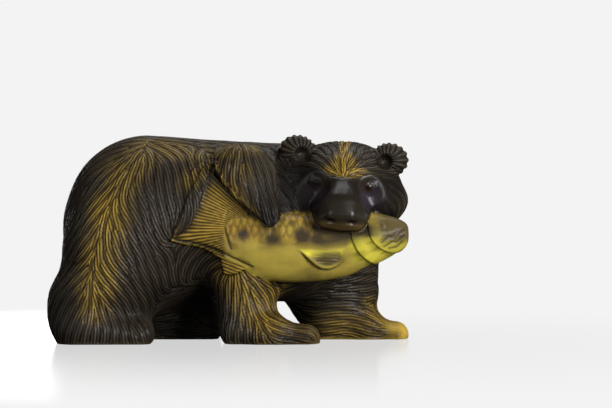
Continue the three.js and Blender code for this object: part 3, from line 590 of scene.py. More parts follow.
class Zones:
    """Which piece of the carving each point of the surface belongs to, from 0 to 1."""

    def __init__(self, points, normals):
        x, y, z = points.T
        u, v, w = head_frame(x, y, z)
        self.find_lobes(x, y, z, u, v, w)
        self.find_face(u, v, w)
        self.find_legs(x, y, z, normals)

    def find_lobes(self, x, y, z, u, v, w):
        """The fish, ears, head, shoulder leaf, mane and tail fin, the upper over the lower."""
        self.fish = ease(0.7, 0.15, in_parts(fish, x, y, z))
        self.ear = ease(1.2, 0.2, ellipsoid(np.abs(u + EAR_SHIFT), v, w, *EAR)) * ease(13, 16, w)
        off_head = ellipsoid(u, v, w, *HEAD_REACH)
        self.head = ease(5, 0, off_head) * ease(-24, -10, v + 8)
        self.head = np.maximum(self.head, self.ear)
        leaf = right_outline(x, y, z, SHOULDER_LEAF)
        self.leaf = ease(0.5, -0.5, leaf) * ease(-37, -31, along_leaf(x, z))
        lobe = right_outline(x, y, z, MANE_LOBE)
        self.mane = ease(0.8, -0.6, lobe) * (1 - ease(1, 0, off_head) * ease(20, 26, x)) * (1 - self.ear)
        self.head *= 1 - self.mane
        self.fish *= 1 - self.mane
        tail = right_outline(x, y, z, TAIL_FIN)
        self.tail = ease(0.5, -0.5, tail) * (1 - self.leaf) * (1 - self.fish) * (1 - self.mane)
        self.worn = self.mane * ease(1.3, 0.6, oval(x, z, *WORN_MANE))

    def find_face(self, u, v, w):
        """The polished face, the brow above it and the jaw beside it."""
        side = np.abs(u)
        half, top, fall = FACE_BRIDGE
        bridge = np.maximum(side / half, np.where(w > top, (w - top) / fall + 0.3, 0))
        shape = np.minimum(np.minimum(oval(side, w, *FACE_HOLLOW), bridge), oval(side, w, *FACE_MUZZLE))
        front = ease(32, 35, v) * ease(22, 20, side) * ease(3, 0, w)
        self.face = np.maximum(ease(1.06, 0.94, shape) * ease(8, 12, v), front) * (1 - self.fish)
        self.face *= ease(-34, -32, w) * ease(44, 40, side)
        self.brow = self.head * ease(20, 14, side) * ease(4, 8, w) * (v > 0)
        self.jaw = self.head * ease(18, 25, u) * ease(8, 0, w) * (1 - self.ear)

    def find_legs(self, x, y, z, normals):
        """The inner sides, the underside, the far toe and the near foreleg."""
        self.inner = ease(0.25, 0.6, normals[:, 1] * -np.sign(y)) * ease(58, 48, z)
        self.under = ease(-0.5, -0.85, normals[:, 2]) * ease(60, 50, z)
        self.toe = ease(98, 108, x) * ease(20, 12, z) * ease(0, 8, y)
        self.foreleg = ease(52, 46, z) * ease(-14, -4, x) * ease(60, 54, x) * ease(-12, -20, y)


def whorl_flow(x, z, whorls):
    """The run of the fur in the side plane."""
    across = np.zeros_like(x)
    up = np.full_like(z, -1)
    for wx, wz, strength, spread in whorls:
        square = (x - wx) ** 2 + (z - wz) ** 2 + spread**2
        across += strength * (x - wx) / square
        up += strength * (z - wz) / square
    return unit(np.stack([across, np.zeros_like(x), up], 1))


def fan_from(x, z, at):
    """The run of fur that spreads like a fan from one place."""
    return unit(np.stack([x - at[0], np.zeros_like(x), z - at[1]], 1))


def towards(way, other, share):
    return way + (other - way) * share[:, None]


def lie_of_fur(points, normals, zones):
    """The way the fur, and the rays of ears and tail, lie at each point."""
    x, y, z = points.T
    u, _, w = head_frame(x, y, z)
    right = ease(10, -10, y)[:, None]
    way = whorl_flow(x, z, NEAR_WHORLS) * right + whorl_flow(x, z, FAR_WHORLS) * (1 - right)
    on_paw = ease(20, 42, x) * ease(28, 12, z)
    leg_fan = towards(fan_from(x, z, FORELEG_FAN), np.array(PAW_STROKES, np.float32), on_paw)
    way = towards(way, leg_fan, zones.foreleg)
    way = towards(way, np.array(FORWARD, np.float32), np.maximum(zones.inner, zones.under))
    way = towards(way, whorl_flow(x, z, MANE_WHORLS), zones.mane)
    up = w - CROWN_UP
    over = unit(np.stack(out_of_head(u, CROWN_LEAN * np.hypot(u, up), up), 1))
    way = towards(way, over, zones.head)
    out = (np.abs(u) - EAR_HOLLOW[0][0]) * np.sign(u)
    rays = unit(np.stack(out_of_head(out, np.full_like(x, EAR_LEAN), w - EAR_HOLLOW[0][2]), 1))
    way = towards(way, rays, zones.ear)
    way = towards(way, fan_from(x, z, TAIL_SPREAD), zones.tail)
    turn = 0.16 * ripple(points, 12, 3) + 0.07 * ripple(points, 4, 4)
    way = unit(way - (way * normals).sum(1, keepdims=True) * normals)
    across = np.cross(normals, way)
    return unit(way * np.cos(turn)[:, None] + across * np.sin(turn)[:, None])


def links_of(quads):
    sides = np.stack([quads, np.roll(quads, -1, 1)], 2).reshape(-1, 2)
    return np.unique(np.sort(sides, 1), axis=0)


def comb(points, across, links, waves, phase, rounds):
    """Brings the phases of neighbouring strokes into step along the lie of the fur."""
    a, b = links.T
    step = points[b] - points[a]
    mean_across = across[a] + across[b]
    agree = (across[a] * across[b]).sum(1)
    turn = np.pi * 0.5 * (waves[a] + waves[b]) * (mean_across * step).sum(1)
    weight = np.maximum(agree - LEAST_AGREEMENT, 0)
    forward = weight * np.exp(1j * turn)
    count = len(points)
    for _ in range(rounds):
        ahead, behind = phase[a] * forward, phase[b] * forward.conj()
        real = np.bincount(b, ahead.real, count) + np.bincount(a, behind.real, count)
        imaginary = np.bincount(b, ahead.imag, count) + np.bincount(a, behind.imag, count)
        total = real + 1j * imaginary + OWN_SHARE * phase
        phase = total / np.maximum(np.abs(total), 1e-6)
    return phase


def thin_out(points, links, size):
    """Groups points by cells of one size: a stand-in point for each, and the groups' links."""
    cells = np.floor((points + CELLS_FROM) / size).astype(np.int64)
    numbers = cells @ np.array((1, CELLS_ACROSS, CELLS_ACROSS**2))
    _, first, group = np.unique(numbers, return_index=True, return_inverse=True)
    group = group.ravel()
    pairs = np.sort(group[links], 1)
    return first, group, np.unique(pairs[pairs[:, 0] != pairs[:, 1]], axis=0)


def stroke_phases(points, across, links, waves, finest=0):
    """Evenly spaced gouge strokes: their phases, worked out coarse first and then finer."""
    levels = [(np.arange(len(points)), None, links)]
    for size in COMB_CELLS:
        kept = levels[-1][0]
        first, group, pairs = thin_out(points[kept], levels[-1][2], size)
        levels.append((kept[first], group, pairs))
    rng = np.random.default_rng(11)
    phase = np.exp(1j * rng.uniform(0, 2 * np.pi, len(levels[-1][0])))
    for level in range(len(levels) - 1, -1, -1):
        kept, _, pairs = levels[level]
        if level >= finest:
            rounds = COMB_ROUNDS[level]
            phase = comb(points[kept], across[kept], pairs, waves[kept], phase, rounds)
        if level > 0:
            finer, group = levels[level - 1][0], levels[level][1]
            step = points[finer] - points[kept][group]
            mean_across = 0.5 * (across[finer] + across[kept][group])
            turn = 2 * np.pi * waves[finer] * (mean_across * step).sum(1)
            phase = phase[group] * np.exp(1j * turn)
    return np.angle(phase)


def scale_rim(x, z):
    """How far from the lower rim of the nearest scale."""
    row = np.floor(z / SCALE_TALL)
    across = x / SCALE_WIDE + 0.5 * (row % 2)
    fx = (across - np.floor(across) - 0.5) * 2
    fz = z / SCALE_TALL - row
    return np.abs(np.hypot(fx, (1 - fz) * 1.05) - 0.9)


def scaled_at(x, z):
    """Where the fish has scales."""
    return ease(64, 70, z - 0.02 * x) * ease(-2, 2, x) * ease(64, 54, x)


def fin_rim(x, z, edge):
    """Where the side fin's rim stands up: along its lower edge, fading towards the belly."""
    return ease(3, 1, np.abs(edge)) * ease(62, 57, z) * ease(76, 68, x)


def fish_relief(x, y, z, zones):
    """Scales, fin rays, mouth lines and eye of the fish: how far each point moves outward."""
    lift = -0.45 * scaled_at(x, z) * ease(0.4, 0, scale_rim(x, z))
    edge = outline_distance(x, z, SIDE_FIN)
    ray = 1 - np.abs(np.sin(np.pi * (z + 0.06 * x) / SIDE_FIN_PITCH))
    lift -= 0.55 * ease(-1.4, -2.6, edge) * ray**1.2
    raised = 0.55 * ease(1.2, 0.3, np.abs(edge + 0.9)) - 0.5 * ease(1, 0.2, np.abs(edge - 0.7))
    lift += fin_rim(x, z, edge) * raised
    for line in MOUTH_LINES:
        lift -= 0.6 * ease(0.9, 0, near_line(x, z, line))
    ex, ez, size = FISH_EYE
    off = np.hypot(x - ex, z - ez)
    lift += 0.8 * ease(size, 0, off) - 0.4 * ease(0.7, 0, np.abs(off - size - 0.3))
    return lift * zones.fish * (y < -20)


def tail_ridge(x, z):
    """The rays of the tail fin, and the strokes along its lower edge."""
    ray = np.abs(np.sin(np.pi * np.arctan2(z - FIN_FAN[1], FIN_FAN[0] - x) / FIN_RAY))
    edge_x, edge_z = LOWER_TAIL[0]
    below = BELOW_TAIL[0] * (x - edge_x) + BELOW_TAIL[1] * (z - edge_z)
    return np.where(below > 0, np.abs(np.sin(np.pi * below / BELOW_PITCH)), ray)


def carve_relief(points, normals, zones, phase, tuft):
    """Cuts the gouge strokes and the fish's details into the surface."""
    x, y, z = points.T
    u, _, w = head_frame(x, y, z)
    ridge = np.abs(np.sin(phase / 2))
    ridge += (tail_ridge(x, z) - ridge) * zones.tail
    ridge += (np.abs(np.sin(EAR_RIDGES / 2 * ear_angle(u, w))) - ridge) * zones.ear
    uneven = np.clip(0.95 + 0.22 * ripple(points, 9, 5), 0.4, 1.4)
    fur = (1 - zones.fish) * (1 - zones.face) * (1 - 0.85 * zones.toe) * ease(0, 1.5, z)
    depth = (1.0 - 0.35 * zones.tail - 0.25 * zones.ear - 0.25 * zones.head) * fur * uneven
    depth *= (1 - 0.5 * zones.jaw) * (1 - 0.65 * zones.worn)
    loose = fur * (1 - zones.tail) * (1 - zones.ear)
    lock = np.abs(np.sin(tuft / 2))
    lift = -depth * (1 - ridge**0.85) - TUFT_DEPTH * loose * (1 - lock) ** 2
    lift += SWELL_DEPTH * loose * ripple(points, 14, 6)
    lift += fish_relief(x, y, z, zones)
    right = y < RIGHT_SIDE
    lift -= 0.8 * right * ease(1.1, 0, near_line(x, z, TAIL_ROOT)) * (1 - zones.mane)
    lift -= 1.1 * right * ease(1.3, 0, near_line(x, z, LOWER_TAIL)) * (1 - zones.leaf)
    shown = ridge * (1 - loose * 0.6 * (1 - lock))
    shown += (0.7 - shown) * 0.7 * zones.worn
    return points + normals * (lift * ease(0, 0.6, z))[:, None], shown * fur + (1 - fur)


def fish_spots_and_shadows(points):
    """Dark clouds, flecks, spots and lines sprayed on the fish, and painted shadows under the bear's
    muzzle and below the side fin's rim.
    """
    x, _, z = points.T
    cloud = ripple(points, 7, 21)
    fleck = ease(0.1, 0.9, ripple(points, 2.6, 23) + 0.5 * cloud)
    edge = outline_distance(x, z, SIDE_FIN)
    rim = fin_rim(x, z, edge)
    layers = [
        0.3 * ease(0.3, 1.2, cloud) * ease(74, 60, z),
        0.75 * fleck * ease(60, 67, z) * ease(12, 26, x) * ease(94, 84, x),
        # A painted shadow on the fish under the bear's muzzle
        0.95 * ease(6.5, 2.5, near_line(x, z, MUZZLE_SHADOW_LINE)),
        0.6 * scaled_at(x, z) * ease(0.32, 0.05, scale_rim(x, z)),
        0.85 * ease(1.2, 0.6, oval(x, z, *FIN_SHADE)),
        # A painted shadow just below the side fin's raised rim
        0.6 * rim * ease(1.1, 0.2, np.abs(edge - 0.8)),
    ]
    for spot_x, spot_z, size in FISH_SPOTS:
        away = np.hypot(x - spot_x, z - spot_z) + 0.5 * cloud
        layers.append(0.95 * ease(size * 1.15, size * 0.45, away))
    for line in (TAIL_ROOT, LOWER_TAIL, *MOUTH_LINES):
        layers.append(0.85 * ease(1.2, 0.3, near_line(x, z, line)))
    return np.maximum.reduce(layers) * (1 - 0.8 * rim * ease(1.4, 0.5, np.abs(edge + 1)))


def fish_bright_and_glow(x, z):
    """Bright yellow on the upper part of the side fin, and a painted glow on the lower gill cover,
    brightest along its raised rim.
    """
    gill = disc(x, z, *GILL_COVER)
    # Painted glow on the lower gill cover, brightest along its raised rim
    bright = ease(3, 1, np.abs(gill + 1.2)) * ease(72, 66, z)
    bright = np.maximum(bright, 0.55 * ease(0, -3, gill) * ease(74, 66, z))
    edge = outline_distance(x, z, SIDE_FIN)
    return np.maximum(bright, 0.75 * ease(1, -1, edge) * ease(55, 58, z))


def fish_snout(x, z):
    """Brown over the upper part of the fish's head."""
    (sx, sz), (inner, outer) = SNOUT_SHADE
    return ease(outer, inner, np.hypot(x - sx, z - sz)) * ease(62, 69, z)


def warm_of(points, zones):
    """Orange on the fish's back, and on the rim of the bear's lip."""
    x, y, z = points.T
    _, v, w = head_frame(x, y, z)
    back = ease(62, 68, z) * ease(90, 50, x) * (0.7 + 0.3 * ripple(points, 7, 21))
    return np.where(zones.face > 0.5, ease(-22.5, -26, w) * ease(20, 26, v), back)


def hollow_shade(points, normals, links):
    """How deep in a hollow each point lies, from 0 to 1, used as painted shade in the hollows, with the
    stain that pools there.
    """
    first, group, _ = thin_out(points, links, COMB_CELLS[0])
    at, way = points[first], normals[first]
    shut = np.zeros(len(first), np.float32)
    for reach in (5, 11, 20):
        open_way = field_of((at + way * reach).astype(np.float32))
        shut += np.clip(1 - np.minimum(open_way, reach) / reach, 0, 1) / 3
    return ease(0.1, 0.62, shut)[group]


def dark_stain_and_shade_of(points, zones):
    """Where the dark stain lies thickest, with painted shadow and shade on the temple, neck, rump and
    belly, from 0 to 1.
    """
    x, y, z = points.T
    u, _, w = head_frame(x, y, z)
    # Painted shadow of the head on the near temple
    temple = np.maximum(zones.head, zones.face) * ease(-11, -20, u) * ease(15, 8, w) * (1 - zones.ear)
    cheek = 0.8 * zones.head * ease(18, 24, u) * ease(13, 5, w) * (1 - zones.ear)
    # Painted shadow of the head on the neck behind it
    neck = ease(1.25, 0.85, oval(x, z, *NECK_SHADE)) * (y < RIGHT_SIDE) * (1 - zones.mane)
    tip = 0.8 * zones.mane * ease(30, 12, np.hypot(x - MANE_TIP[0], z - MANE_TIP[1]))
    # Painted shade on the far left of the rump, the side turned from the light
    rump = 0.65 * ease(-86, -102, x)
    bridge = 0.55 * zones.face * ease(12, 8, np.abs(u)) * ease(-13, -7, w)
    # Painted shade under the belly between the legs, with the dark stain there
    belly = 0.7 * ease(44, 34, z) * ease(-56, -44, x) * ease(2, -6, x)
    tail_cut = zones.tail * ease(2.2, 0.5, near_line(x, z, LOWER_TAIL))
    ear = 0.4 * zones.ear
    soot = np.maximum.reduce([temple, cheek, neck, tip, rump, bridge, belly, tail_cut, ear])
    return soot * (1 - zones.fish)


def head_yellow(points, zones):
    """The yellow brow, and the crest that narrows up the forehead."""
    u, v, w = head_frame(*points.T)
    brow = ease(1.1, 0.5, oval(u, w, *BROW))
    half_width = 4 + 0.6 * np.clip(24 - w, 0, 20)
    crest = ease(1.2, 0.5, np.abs(u + 1) / half_width) * ease(4, 7, w)
    return zones.head * (1 - zones.ear) * (v > 0) * np.maximum(brow * 0.85, crest * 0.8)


def yellow_of(points, zones):
    """How yellow each point is, from the dark stain (0) to the bare yellow (1)."""
    x, y, z = points.T
    yellow = np.zeros(len(points), np.float32)
    soft = 1.5 * ripple(points, 8, 7)
    for stripes, side in ((NEAR_STRIPES, y < -STRIPES_FROM), (FAR_STRIPES, y > STRIPES_FROM)):
        for line, half, strength in stripes:
            away = near_line(x, z, line) + soft
            yellow = np.maximum(yellow, strength * ease(half * 1.6, half * 0.15, away) * side)
    inner = (y > 5) * zones.inner
    yellow = np.maximum(yellow, 0.55 * inner * ease(26, 8, z) * ease(40, 60, x))
    yellow = np.maximum(yellow, 0.9 * zones.tail * ease(112, 96, z))
    yellow = np.maximum(yellow, zones.toe)
    yellow = yellow * (1 - zones.head) + head_yellow(points, zones)
    return np.maximum(yellow * (1 - zones.face), zones.fish)


def carve_block():
    """The carved surface: its points and faces, and its stains, painted shade and painted glow by name,
    each from 0 to 1.
    """
    points, quads = first_net()
    for _ in range(2):
        points, _ = settle(points)
    points, quads = refine(points, quads)
    points, normals = settle(points)
    zones = Zones(points, normals)
    lie = lie_of_fur(points, normals, zones)
    across = np.cross(normals, lie)
    finer = 0.06 * zones.head + 0.05 * zones.tail + 0.06 * zones.ear + 0.08 * zones.brow
    waves = (1 / block_settings().stroke_width + finer).astype(np.float32)
    links = links_of(quads)
    phase = stroke_phases(points, across, links, waves)
    slanted = unit(across + TUFT_SLANT * lie)
    tuft = stroke_phases(points, slanted, links, waves * TUFT_SHARE, 1)
    carved, ridge = carve_relief(points, normals, zones, phase, tuft)
    carved[:, 2] = np.maximum(carved[:, 2], 0)
    x, _, z = points.T
    stains_and_shade = {
        "ridge": ridge,
        "yellow": yellow_of(points, zones),
        "fish": zones.fish,
        "face": zones.face,
        # Sprayed dark on the fish, with painted shadows under the muzzle and the side fin's rim
        "dark": fish_spots_and_shadows(points),
        "snout": fish_snout(x, z),
        # Bright yellow of the side fin, with a painted glow on the gill cover
        "bright": fish_bright_and_glow(x, z),
        "warm": warm_of(points, zones),
        # Painted shade in the hollows, with the stain that pools there
        "pit": hollow_shade(points, normals, links),
        # Dark stain, with painted shadow and shade on the temple, neck, rump and belly
        "soot": dark_stain_and_shade_of(points, zones),
    }
    return carved, quads, stains_and_shade


def new_mesh(name, points, quads):
    mesh = bpy.data.meshes.new(name)
    mesh.vertices.add(len(points))
    mesh.vertices.foreach_set("co", points.astype(np.float32).ravel())
    mesh.loops.add(quads.size)
    mesh.loops.foreach_set("vertex_index", quads.astype(np.int32).ravel())
    mesh.polygons.add(len(quads))
    mesh.polygons.foreach_set("loop_start", np.arange(0, quads.size, 4, dtype=np.int32))
    mesh.polygons.foreach_set("loop_total", np.full(len(quads), 4, np.int32))
    mesh.update(calc_edges=True)
    return mesh


def paint(mesh, name, values):
    layer = mesh.attributes.new(name, "FLOAT", "POINT")
    layer.data.foreach_set("value", values.astype(np.float32))


def to_frame(points):
    middle = np.array((*DRAWN_MIDDLE, 0), np.float32)
    return (points - middle) * TO_METRES


def place(x, y, z):
    """A drawn point in the frame, in metres."""
    return Vector((x - DRAWN_MIDDLE[0], y - DRAWN_MIDDLE[1], z)) * TO_METRES


def head_place(u, v, w):
    """A point of the head in the frame, in metres."""
    return place(*(at + step for at, step in zip(HEAD_AT, out_of_head(u, v, w))))


def mm(size):
    """A drawn size in metres."""
    return size * TO_METRES


def apply_modifiers(piece):
    graph = bpy.context.evaluated_depsgraph_get()
    mesh = bpy.data.meshes.new_from_object(piece.evaluated_get(graph))
    piece.modifiers.clear()
    piece.data = mesh


class Value:
    """A shader socket that Python expressions can add, multiply and compare."""

    def __init__(self, build, socket):
        self.build, self.socket = build, socket

    def math(self, operation, *others, swap=False):
        inputs = [self, *others]
        if swap:
            inputs.reverse()
        return self.build.node("ShaderNodeMath", {"operation": operation}, dict(enumerate(inputs)))

    def __add__(self, other):
        return self.math("ADD", other)

    __radd__ = __add__

    def __sub__(self, other):
        return self.math("SUBTRACT", other)

    def __rsub__(self, other):
        return self.math("SUBTRACT", other, swap=True)

    def __mul__(self, other):
        return self.math("MULTIPLY", other)

    __rmul__ = __mul__

    def __pow__(self, other):
        return self.math("POWER", other)

    def most(self, other):
        return self.math("MAXIMUM", other)


def set_stops(ramp, stops):
    """Sets the stops of a ramp, each a place along it and a grey."""
    while len(ramp.elements) < len(stops):
        ramp.elements.new(0.5)
    for stop, (at, grey) in zip(ramp.elements, stops):
        stop.position = at
        stop.color = (grey, grey, grey, 1)


class Build:
    """Lays the nodes of one material, or of the world."""

    def __init__(self, owner):
        owner.use_nodes = True
        self.owner, self.tree = owner, owner.node_tree
        self.tree.nodes.clear()

    def node(self, kind, settings=None, inputs=None, output=0):
        made = self.tree.nodes.new(kind)
        for key, value in (settings or {}).items():
            if key == "stops":
                set_stops(made.color_ramp, value)
            else:
                setattr(made, key, value)
        for key, value in (inputs or {}).items():
            if isinstance(value, Value):
                self.tree.links.new(value.socket, made.inputs[key])
            else:
                made.inputs[key].default_value = value
        return Value(self, made.outputs[output]) if made.outputs else None

    def attribute(self, name):
        return self.node("ShaderNodeAttribute", {"attribute_name": name}, output="Fac")

    def coordinates(self):
        return self.node("ShaderNodeTexCoord", output="Object")

    def noise(self, scale, detail=3, rough=0.5, stretch=None):
        at = self.coordinates()
        if stretch:
            at = self.node("ShaderNodeMapping", inputs={"Vector": at, "Scale": stretch})
        inputs = {"Vector": at, "Scale": scale, "Detail": detail, "Roughness": rough}
        return self.node("ShaderNodeTexNoise", inputs=inputs, output="Fac")

    def mix(self, share, first, second):
        return self.node("ShaderNodeMix", {"data_type": "RGBA"}, {0: share, 6: first, 7: second}, 2)

    def fade(self, value, start, end):
        """Runs softly from 0 at start to 1 at end."""
        inputs = {"Value": value, "From Min": start, "From Max": end}
        settings = {"interpolation_type": "SMOOTHSTEP", "clamp": True}
        return self.node("ShaderNodeMapRange", settings, inputs)

    def ball(self, centre, inner, outer):
        """1 within inner of a place, falling to 0 at outer."""
        inputs = {0: self.coordinates(), 1: centre}
        gap = self.node("ShaderNodeVectorMath", {"operation": "DISTANCE"}, inputs, "Value")
        return 1 - self.fade(gap, inner, outer)

    def finish(self, surface, kind="ShaderNodeOutputMaterial"):
        self.node(kind, inputs={"Surface": surface})
        return self.owner


def new_build(name):
    return Build(bpy.data.materials.new(name))


def fur_colour(build, settings, ridge, blotch):
    """Dark stain rubbed back on the ridges, and the yellow left bare in stripes."""
    worn = ridge**2.4 * (0.55 + 0.7 * blotch)
    dark = build.mix(worn, (*settings.groove_stain, 1), (*settings.ridge_stain, 1))
    bright = build.mix(worn, (*settings.yellow_groove, 1), (*settings.yellow_ridge, 1))
    return build.mix(build.attribute("yellow") * (0.7 + 0.5 * blotch), dark, bright)


def fish_colour(build):
    """Blotched yellow under the sprayed stains, with the painted glow on the gill cover and the painted
    shadows under the muzzle and the side fin's rim.
    """
    colour = build.mix(build.noise(60, 3), FISH_OLIVE, FISH_YELLOW)
    patina = build.fade(build.noise(32, 4, 0.6), 0.48, 0.72)
    colour = build.mix(patina * 0.5, colour, FISH_PATINA)
    colour = build.mix(build.attribute("warm") * 0.8, colour, FISH_ORANGE)
    # Painted glow on the gill cover, and the side fin's brighter yellow
    colour = build.mix(build.attribute("bright"), colour, FISH_BRIGHT_AND_GLOW)
    colour = build.mix(build.attribute("snout") * 0.93, colour, SNOUT_BROWN)
    # Sprayed dark spots, with painted shadows under the muzzle and the side fin's rim
    return build.mix(build.attribute("dark"), colour, SPOT_AND_SHADOW_BROWN)


def face_colour(build, blotch):
    """Polished dark wood, a painted purple sheen in the hollows below the eyes, and brown along the lip.
    """
    colour = build.mix(blotch, FACE_DARK, FACE_OLIVE)
    # A painted purple sheen on each cheek below the eye
    u, v, w = CHEEK_AT
    for side in (-1, 1):
        purple = build.ball(head_place(side * u, v, w), *map(mm, CHEEK_FADE))
        colour = build.mix(purple * 0.9, colour, FACE_PURPLE_SHEEN)
    return build.mix(build.attribute("warm") * 0.85, colour, LIP_BROWN)


def with_eyes(build, colour):
    """Stains the iris and the pupil of each eye."""
    u, v, w = EYE[0]
    for side in (-1, 1):
        iris = build.ball(head_place(side * u, v + IRIS_OUT, w), *map(mm, IRIS_FADE))
        pupil = build.ball(head_place(side * u, v + PUPIL_OUT, w), *map(mm, PUPIL_FADE))
        colour = build.mix(iris, colour, IRIS_BROWN)
        colour = build.mix(pupil, colour, PUPIL_BLACK)
    return colour


def stained_wood(settings):
    build = new_build("stained_wood")
    ridge, soot = build.attribute("ridge"), build.attribute("soot")
    fish_share, face_share = build.attribute("fish"), build.attribute("face")
    blotch = build.noise(45, 4, 0.6)
    fibre = build.noise(260, 4, 0.65, (1, 1, 0.2))
    colour = build.mix(fish_share, fur_colour(build, settings, ridge, blotch), fish_colour(build))
    colour = with_eyes(build, build.mix(face_share, colour, face_colour(build, blotch)))
    colour = build.mix(fibre * 0.25, colour, FIBRE_BROWN)
    # Darkens towards black with painted shade in the hollows, and with the dark stain that also carries
    # painted shadow and shade
    shade_and_stain = (build.attribute("pit") * (0.85 - 0.35 * fish_share)).most(soot * 0.9)
    grain = {"Strength": 0.35, "Distance": 0.0004, "Height": fibre + blotch}
    inputs = {
        "Base Color": build.mix(shade_and_stain, colour, STAIN_AND_SHADE_BLACK),
        "Roughness": 0.5 - 0.12 * ridge - 0.1 * face_share - 0.06 * fish_share + 0.14 * fibre,
        "Normal": build.node("ShaderNodeBump", inputs=grain),
        "Coat Weight": (0.06 + 0.12 * face_share) * (1 - 0.8 * soot),
        "Coat Roughness": 0.18,
        "IOR": 1.45,
        "Specular IOR Level": 0.09,
    }
    return build.finish(build.node("ShaderNodeBsdfPrincipled", inputs=inputs))


def pale_floor():
    """Even pale light, with a soft reflection close to the figure."""
    build = new_build("pale_floor")
    light = build.node("ShaderNodeEmission", inputs=ROOM_LIGHT)
    mirror = build.node("ShaderNodeBsdfAnisotropic", inputs={"Color": (1, 1, 1, 1), "Roughness": 0.15})
    shine = build.ball((0, 0, 0), *SHINE_FADE) * SHINE
    return build.finish(build.node("ShaderNodeMixShader", inputs={0: shine, 1: light, 2: mirror}))


def pale_backdrop():
    build = new_build("pale_backdrop")
    return build.finish(build.node("ShaderNodeEmission", inputs=ROOM_LIGHT))


def light_walls(world):
    """A pale wall all round at the height of the figure, dimmer above and below."""
    build = Build(world)
    where = build.node("ShaderNodeTexCoord", output="Generated")
    height = build.node("ShaderNodeSeparateXYZ", inputs={0: where}, output="Z")
    level = build.node("ShaderNodeValToRGB", {"stops": WALL_LEVELS}, {0: height * 0.5 + 0.5})
    build.finish(build.node("ShaderNodeBackground", inputs={"Color": level}), "ShaderNodeOutputWorld")


def add_floor():
    bpy.ops.mesh.primitive_plane_add(size=FLOOR_SIZE)
    floor = bpy.context.active_object
    floor.name = "floor"
    floor.data.materials.append(pale_floor())
    floor.visible_diffuse = floor.visible_glossy = False
    return floor


def add_backdrop():
    """A pale sphere round the stage that only the camera sees."""
    bpy.ops.mesh.primitive_uv_sphere_add(radius=BACKDROP_RADIUS)
    backdrop = bpy.context.active_object
    backdrop.name = "backdrop"
    backdrop.data.materials.append(pale_backdrop())
    backdrop.visible_diffuse = backdrop.visible_glossy = backdrop.visible_shadow = False
    backdrop.visible_transmission = backdrop.visible_volume_scatter = False
    return backdrop


def add_light(scene, name, at, size, power):
    data = bpy.data.lights.new(name, "AREA")
    data.size, data.energy = size, power
    light = bpy.data.objects.new(name, data)
    scene.collection.objects.link(light)
    light.location = at
    aim = Vector(LIGHTS_AIM) - light.location
    light.rotation_euler = aim.to_track_quat("-Z", "Y").to_euler()
    return light


def add_camera(scene):
    """The photograph's view: level, square to the bear's right side."""
    camera = bpy.data.objects.new("camera", bpy.data.cameras.new("camera"))
    scene.collection.objects.link(camera)
    stage = scene.carved_stage
    camera.location = (place(CAMERA_X, 0, 0).x, -stage.distance, stage.height)
    camera.rotation_euler = (math.pi / 2, 0, 0)
    camera.data.lens = CAMERA_LENS
    camera.data.clip_end = CAMERA_REACH
    scene.camera = camera


def stain(name, description, colour):
    return FloatVectorProperty(name=name, description=description, subtype="COLOR", default=colour)


class BlockSettings(bpy.types.PropertyGroup):
    """Strokes and stains of the carving"""

    stroke_width: FloatProperty(
        name="Stroke width",
        description="Width of one gouge stroke, in millimetres",
        default=2.0,
        min=1.5,
        max=6,
    )
    faces: IntProperty(name="Faces", description="Most triangles in the block", default=190000, min=20000)
    groove_stain: stain("Groove stain", "Dark stain in the grooves", (0.006, 0.0045, 0.0035))
    ridge_stain: stain("Ridge stain", "Rubbed stain on the ridges", (0.07, 0.054, 0.033))
    yellow_groove: stain("Yellow groove", "Yellow fur in the grooves", (0.028, 0.017, 0.003))
    yellow_ridge: stain("Yellow ridge", "Yellow fur on the ridges", (0.56, 0.36, 0.045))


class StageSettings(bpy.types.PropertyGroup):
    """Place of the camera"""

    distance: FloatProperty(
        name="Camera distance", description="From the camera to the figure", default=1.6217, unit="LENGTH"
    )
    height: FloatProperty(
        name="Camera height", description="Above the floor", default=0.0916, unit="LENGTH"
    )


def block_settings():
    return bpy.context.scene.carved_block


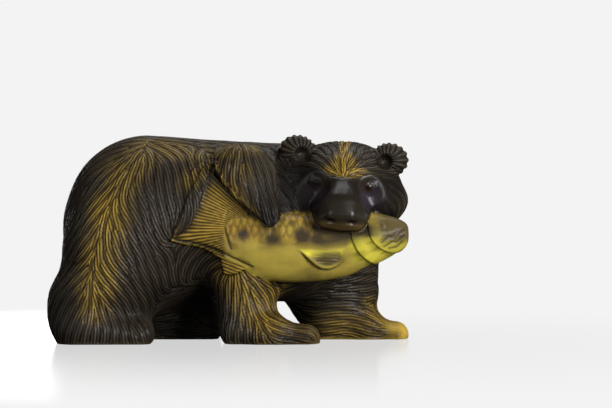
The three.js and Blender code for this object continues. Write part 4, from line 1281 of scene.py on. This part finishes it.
class CARVED_OT_block(bpy.types.Operator):
    """Carve and stain the bear and its fish"""

    bl_idname = "carved.block"
    bl_label = "Carve the block"

    def execute(self, context):
        settings = block_settings()
        carved, quads, stains_and_shade = carve_block()
        mesh = new_mesh("carved_block", to_frame(carved), quads)
        for name, values in stains_and_shade.items():
            paint(mesh, name, np.clip(values, 0, 1))
        piece = bpy.data.objects.new("carved_block", mesh)
        context.scene.collection.objects.link(piece)
        thin = piece.modifiers.new("thin", "DECIMATE")
        thin.ratio = settings.faces / (2 * len(quads))
        apply_modifiers(piece)
        piece.data.polygons.foreach_set("use_smooth", np.ones(len(piece.data.polygons), bool))
        piece.data.materials.append(stained_wood(settings))
        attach(piece, "root")
        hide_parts(NODE)
        return {"FINISHED"}


class CARVED_OT_stage(bpy.types.Operator):
    """Set the floor, the lights and the camera"""

    bl_idname = "carved.stage"
    bl_label = "Set the stage"

    def execute(self, context):
        scene = context.scene
        scene.view_settings.view_transform = "Standard"
        scene.world = scene.world or bpy.data.worlds.new("studio")
        light_walls(scene.world)
        floor = add_floor()
        lights = [add_light(scene, *light) for light in LIGHTS]
        add_camera(scene)
        backdrop = add_backdrop()
        return {"FINISHED"}


class CARVED_PT_panel(bpy.types.Panel):
    """Sizes and stains of the carved bear"""

    bl_label = "Carved bear"
    bl_space_type = "VIEW_3D"
    bl_region_type = "UI"
    bl_category = "Carved bear"

    def draw(self, context):
        for settings, operator in (
            (context.scene.carved_block, CARVED_OT_block),
            (context.scene.carved_stage, CARVED_OT_stage),
        ):
            box = self.layout.box()
            for name in settings.__annotations__:
                box.prop(settings, name)
            box.operator(operator.bl_idname)


CLASSES = (BlockSettings, StageSettings, CARVED_OT_block, CARVED_OT_stage, CARVED_PT_panel)


def register():
    for item in CLASSES:
        bpy.utils.register_class(item)
    bpy.types.Scene.carved_block = PointerProperty(type=BlockSettings)
    bpy.types.Scene.carved_stage = PointerProperty(type=StageSettings)


def unregister():
    del bpy.types.Scene.carved_stage
    del bpy.types.Scene.carved_block
    for item in reversed(CLASSES):
        bpy.utils.unregister_class(item)


def main():
    register()
    bpy.ops.carved.block()
    bpy.ops.carved.stage()


if __name__ == "__main__":
    main()
